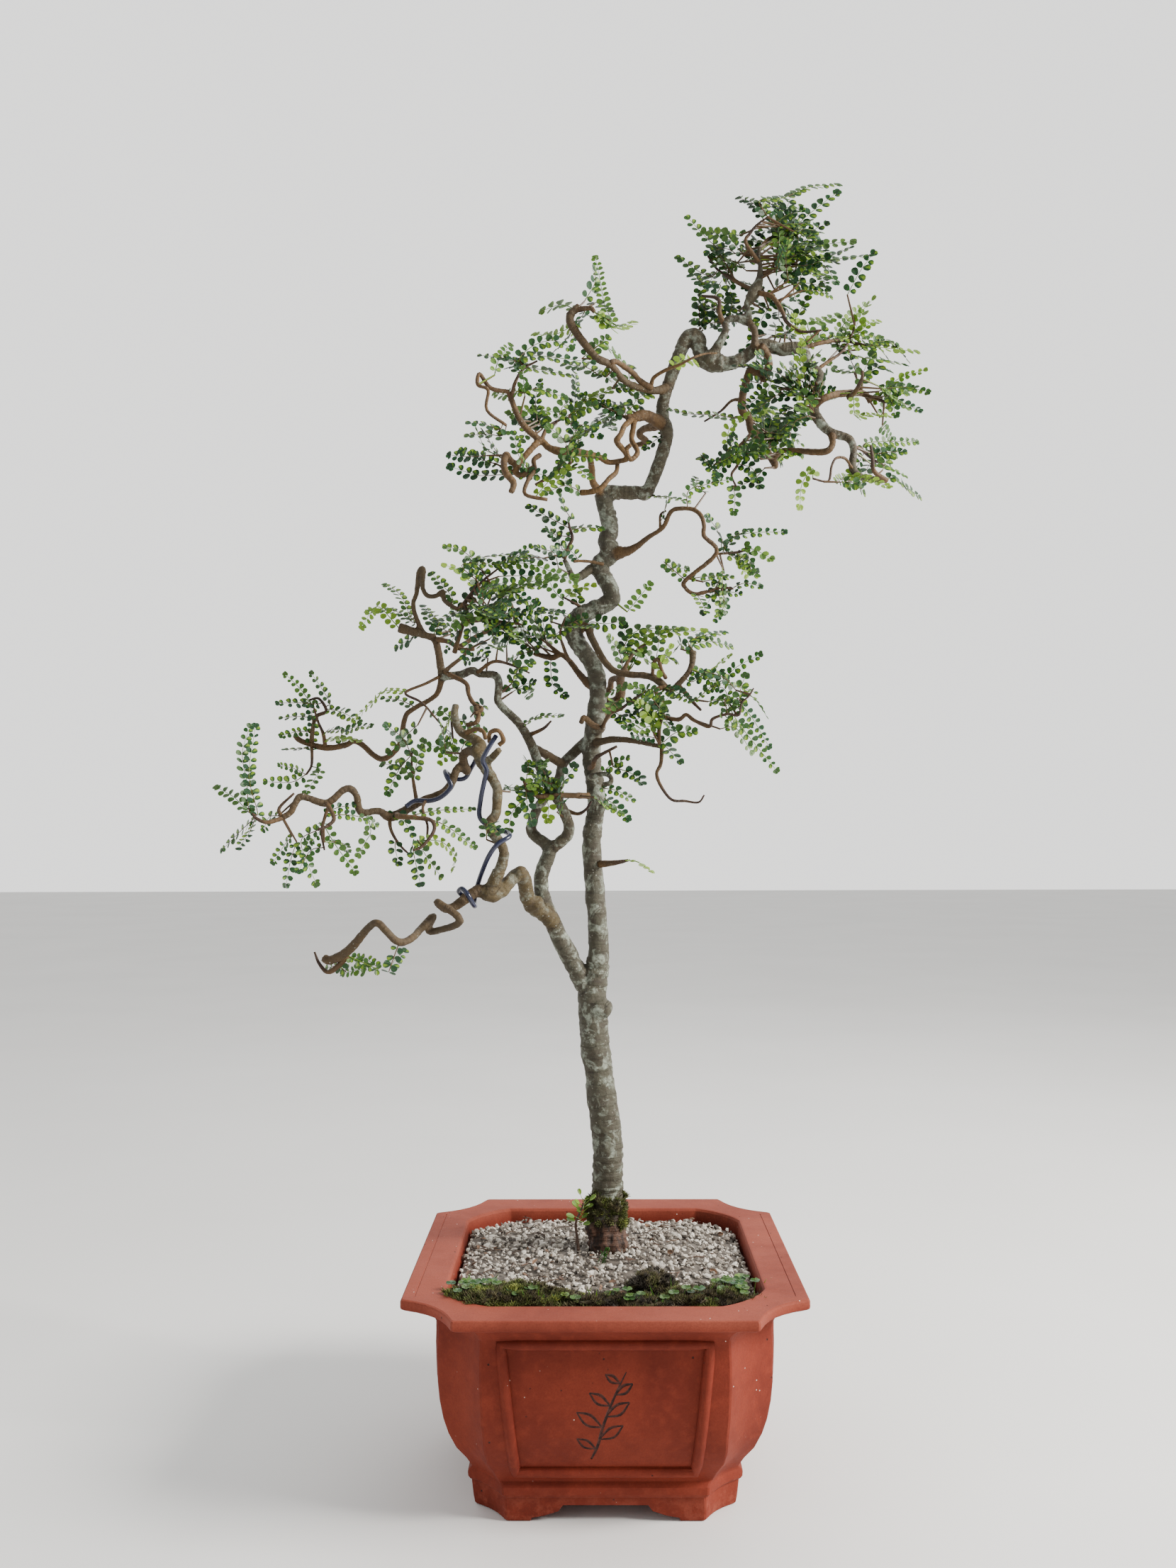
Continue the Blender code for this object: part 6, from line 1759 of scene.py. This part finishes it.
@dataclass
class Studio:
    """The floor, the lights, the surroundings and the camera."""

    key_power: float = 110.0
    fill_power: float = 6.0
    world: tuple[float, float] = (0.55, 1.75)  # how strong it is in front and behind
    aim: tuple[float, float, float] = (0, 0, 0.45)

    def light(self, name: str, at: tuple[float, ...], size: float, power: float, colour: Colour) -> None:
        """A square soft light that faces the tree.

        Args:
            name: its name.
            at: its place, in metres.
            size: its side, in metres.
            power: its power, in watts.
            colour: its colour.
        """
        data = bpy.data.lights.new(name, "AREA")
        data.size, data.energy, data.color = size, power, colour
        lamp = placed(name, data)
        lamp.location = at
        lamp.rotation_euler = (Vector(self.aim) - Vector(at)).to_track_quat("-Z", "Y").to_euler()

    def floor(self) -> None:
        """A plain pale floor under the feet."""
        bm = bmesh.new()
        bmesh.ops.create_grid(bm, x_segments=1, y_segments=1, size=9)
        g = Graph("floor")
        colour = g.ramp(g.noise(400, 3), (0.3, (0.74, 0.735, 0.72)), (0.7, (0.78, 0.775, 0.76)))
        floor = mesh_object("floor", bm, g.done(Base_Color=colour, Roughness=0.75), smooth=False)

    def surroundings(self) -> None:
        """A pale light from all round, brighter from behind."""
        world = bpy.data.worlds.new("studio")
        world.use_nodes = True
        tree = world.node_tree
        split = tree.nodes.new("ShaderNodeSeparateXYZ")
        tree.links.new(tree.nodes.new("ShaderNodeTexCoord").outputs["Generated"], split.inputs[0])
        span = tree.nodes.new("ShaderNodeMapRange")
        for socket, value in zip(span.inputs[1:], (-0.3, 0.7, *self.world)):
            socket.default_value = value
        tree.links.new(split.outputs[1], span.inputs[0])
        background = tree.nodes["Background"]
        background.inputs["Color"].default_value = (0.97, 0.965, 0.95, 1)
        tree.links.new(span.outputs[0], background.inputs["Strength"])
        bpy.context.scene.world = world

    def camera(self) -> None:
        """The camera, a little above the foliage's foot and looking level."""
        pitch, yaw, roll = EYE_PITCH, EYE_YAW, EYE_ROLL
        ahead = Vector((math.sin(yaw) * math.cos(pitch), math.cos(yaw) * math.cos(pitch), math.sin(pitch)))
        right = Vector((math.cos(yaw), -math.sin(yaw), 0))
        up = right.cross(ahead)
        rolled = right * math.cos(roll) + up * math.sin(roll)
        upright = up * math.cos(roll) - right * math.sin(roll)
        data = bpy.data.cameras.new("camera")
        data.lens, data.sensor_width = EYE_LENS, EYE_FRAME
        data.clip_start, data.clip_end = 0.05, 50
        camera = placed("camera", data)
        camera.matrix_world = axes(rolled, upright, -ahead, bench(*EYE))
        bpy.context.scene.camera = camera

    def build(self) -> None:
        """Sets everything up."""
        self.floor()
        self.surroundings()
        self.light("key", (1.75, -0.5, 1.3), 0.7, self.key_power, (1.0, 0.97, 0.92))
        self.light("fill", (-1.6, -0.9, 0.9), 1.4, self.fill_power, (0.92, 0.96, 1.0))
        self.light("rim", (0.3, 1.5, 1.5), 0.9, self.fill_power, (1.0, 1.0, 1.0))
        self.camera()


def dress_hidden() -> None:
    """Gives the soil and the drainage pieces, which keep their own shapes, their finishes."""
    soil = SpeckFinish("soil", SOIL_STOPS, 0.95, 2.5, 0.6).build()
    net = CoatFinish("mesh_plastic", (0.03, 0.03, 0.03), (0.08, 0.08, 0.08), (0.4, 0.6)).build()
    copper = CoatFinish("copper_wire", (0.6, 0.25, 0.12), (0.25, 0.11, 0.06), (0.3, 0.6), 1.0).build()
    for node, material in (("soil", soil), ("drain_mesh", net), ("drain_mesh_wire", copper)):
        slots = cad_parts[node].data.materials
        slots.clear()
        slots.append(material)


def main() -> None:
    """Builds the tree, its pot and its studio."""
    logging.basicConfig(level=logging.INFO, format="%(message)s")
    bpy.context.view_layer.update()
    Studio().build()
    dress_hidden()
    bark = BarkFinish().build()
    Pot(ClayFinish().build(), ShadedGrooveFinish().build()).build()
    stone = SpeckFinish("gravel", GRAVEL_STOPS, 0.85, 1.1, 0.12).build()
    moss = SpeckFinish("moss", MOSS_STOPS, 0.8, 0.8, 0.2).build()
    litter = SpeckFinish("shoot_bark", LITTER_STOPS, 0.8).build()
    Ground(stone, moss, litter, random.Random(11)).build()
    SmallPlants(LeafFinish("young_leaf").build(), litter, random.Random(5)).build()
    wood = Wood(bark)
    wood.build()
    lacquer = CoatFinish("training_wire", (0.012, 0.015, 0.04), (0.03, 0.033, 0.055), (0.16, 0.4))
    Wires(lacquer.build()).build()
    Foliage(LeafFinish().build(), wood, random.Random(23)).build()


if __name__ == "__main__":
    main()
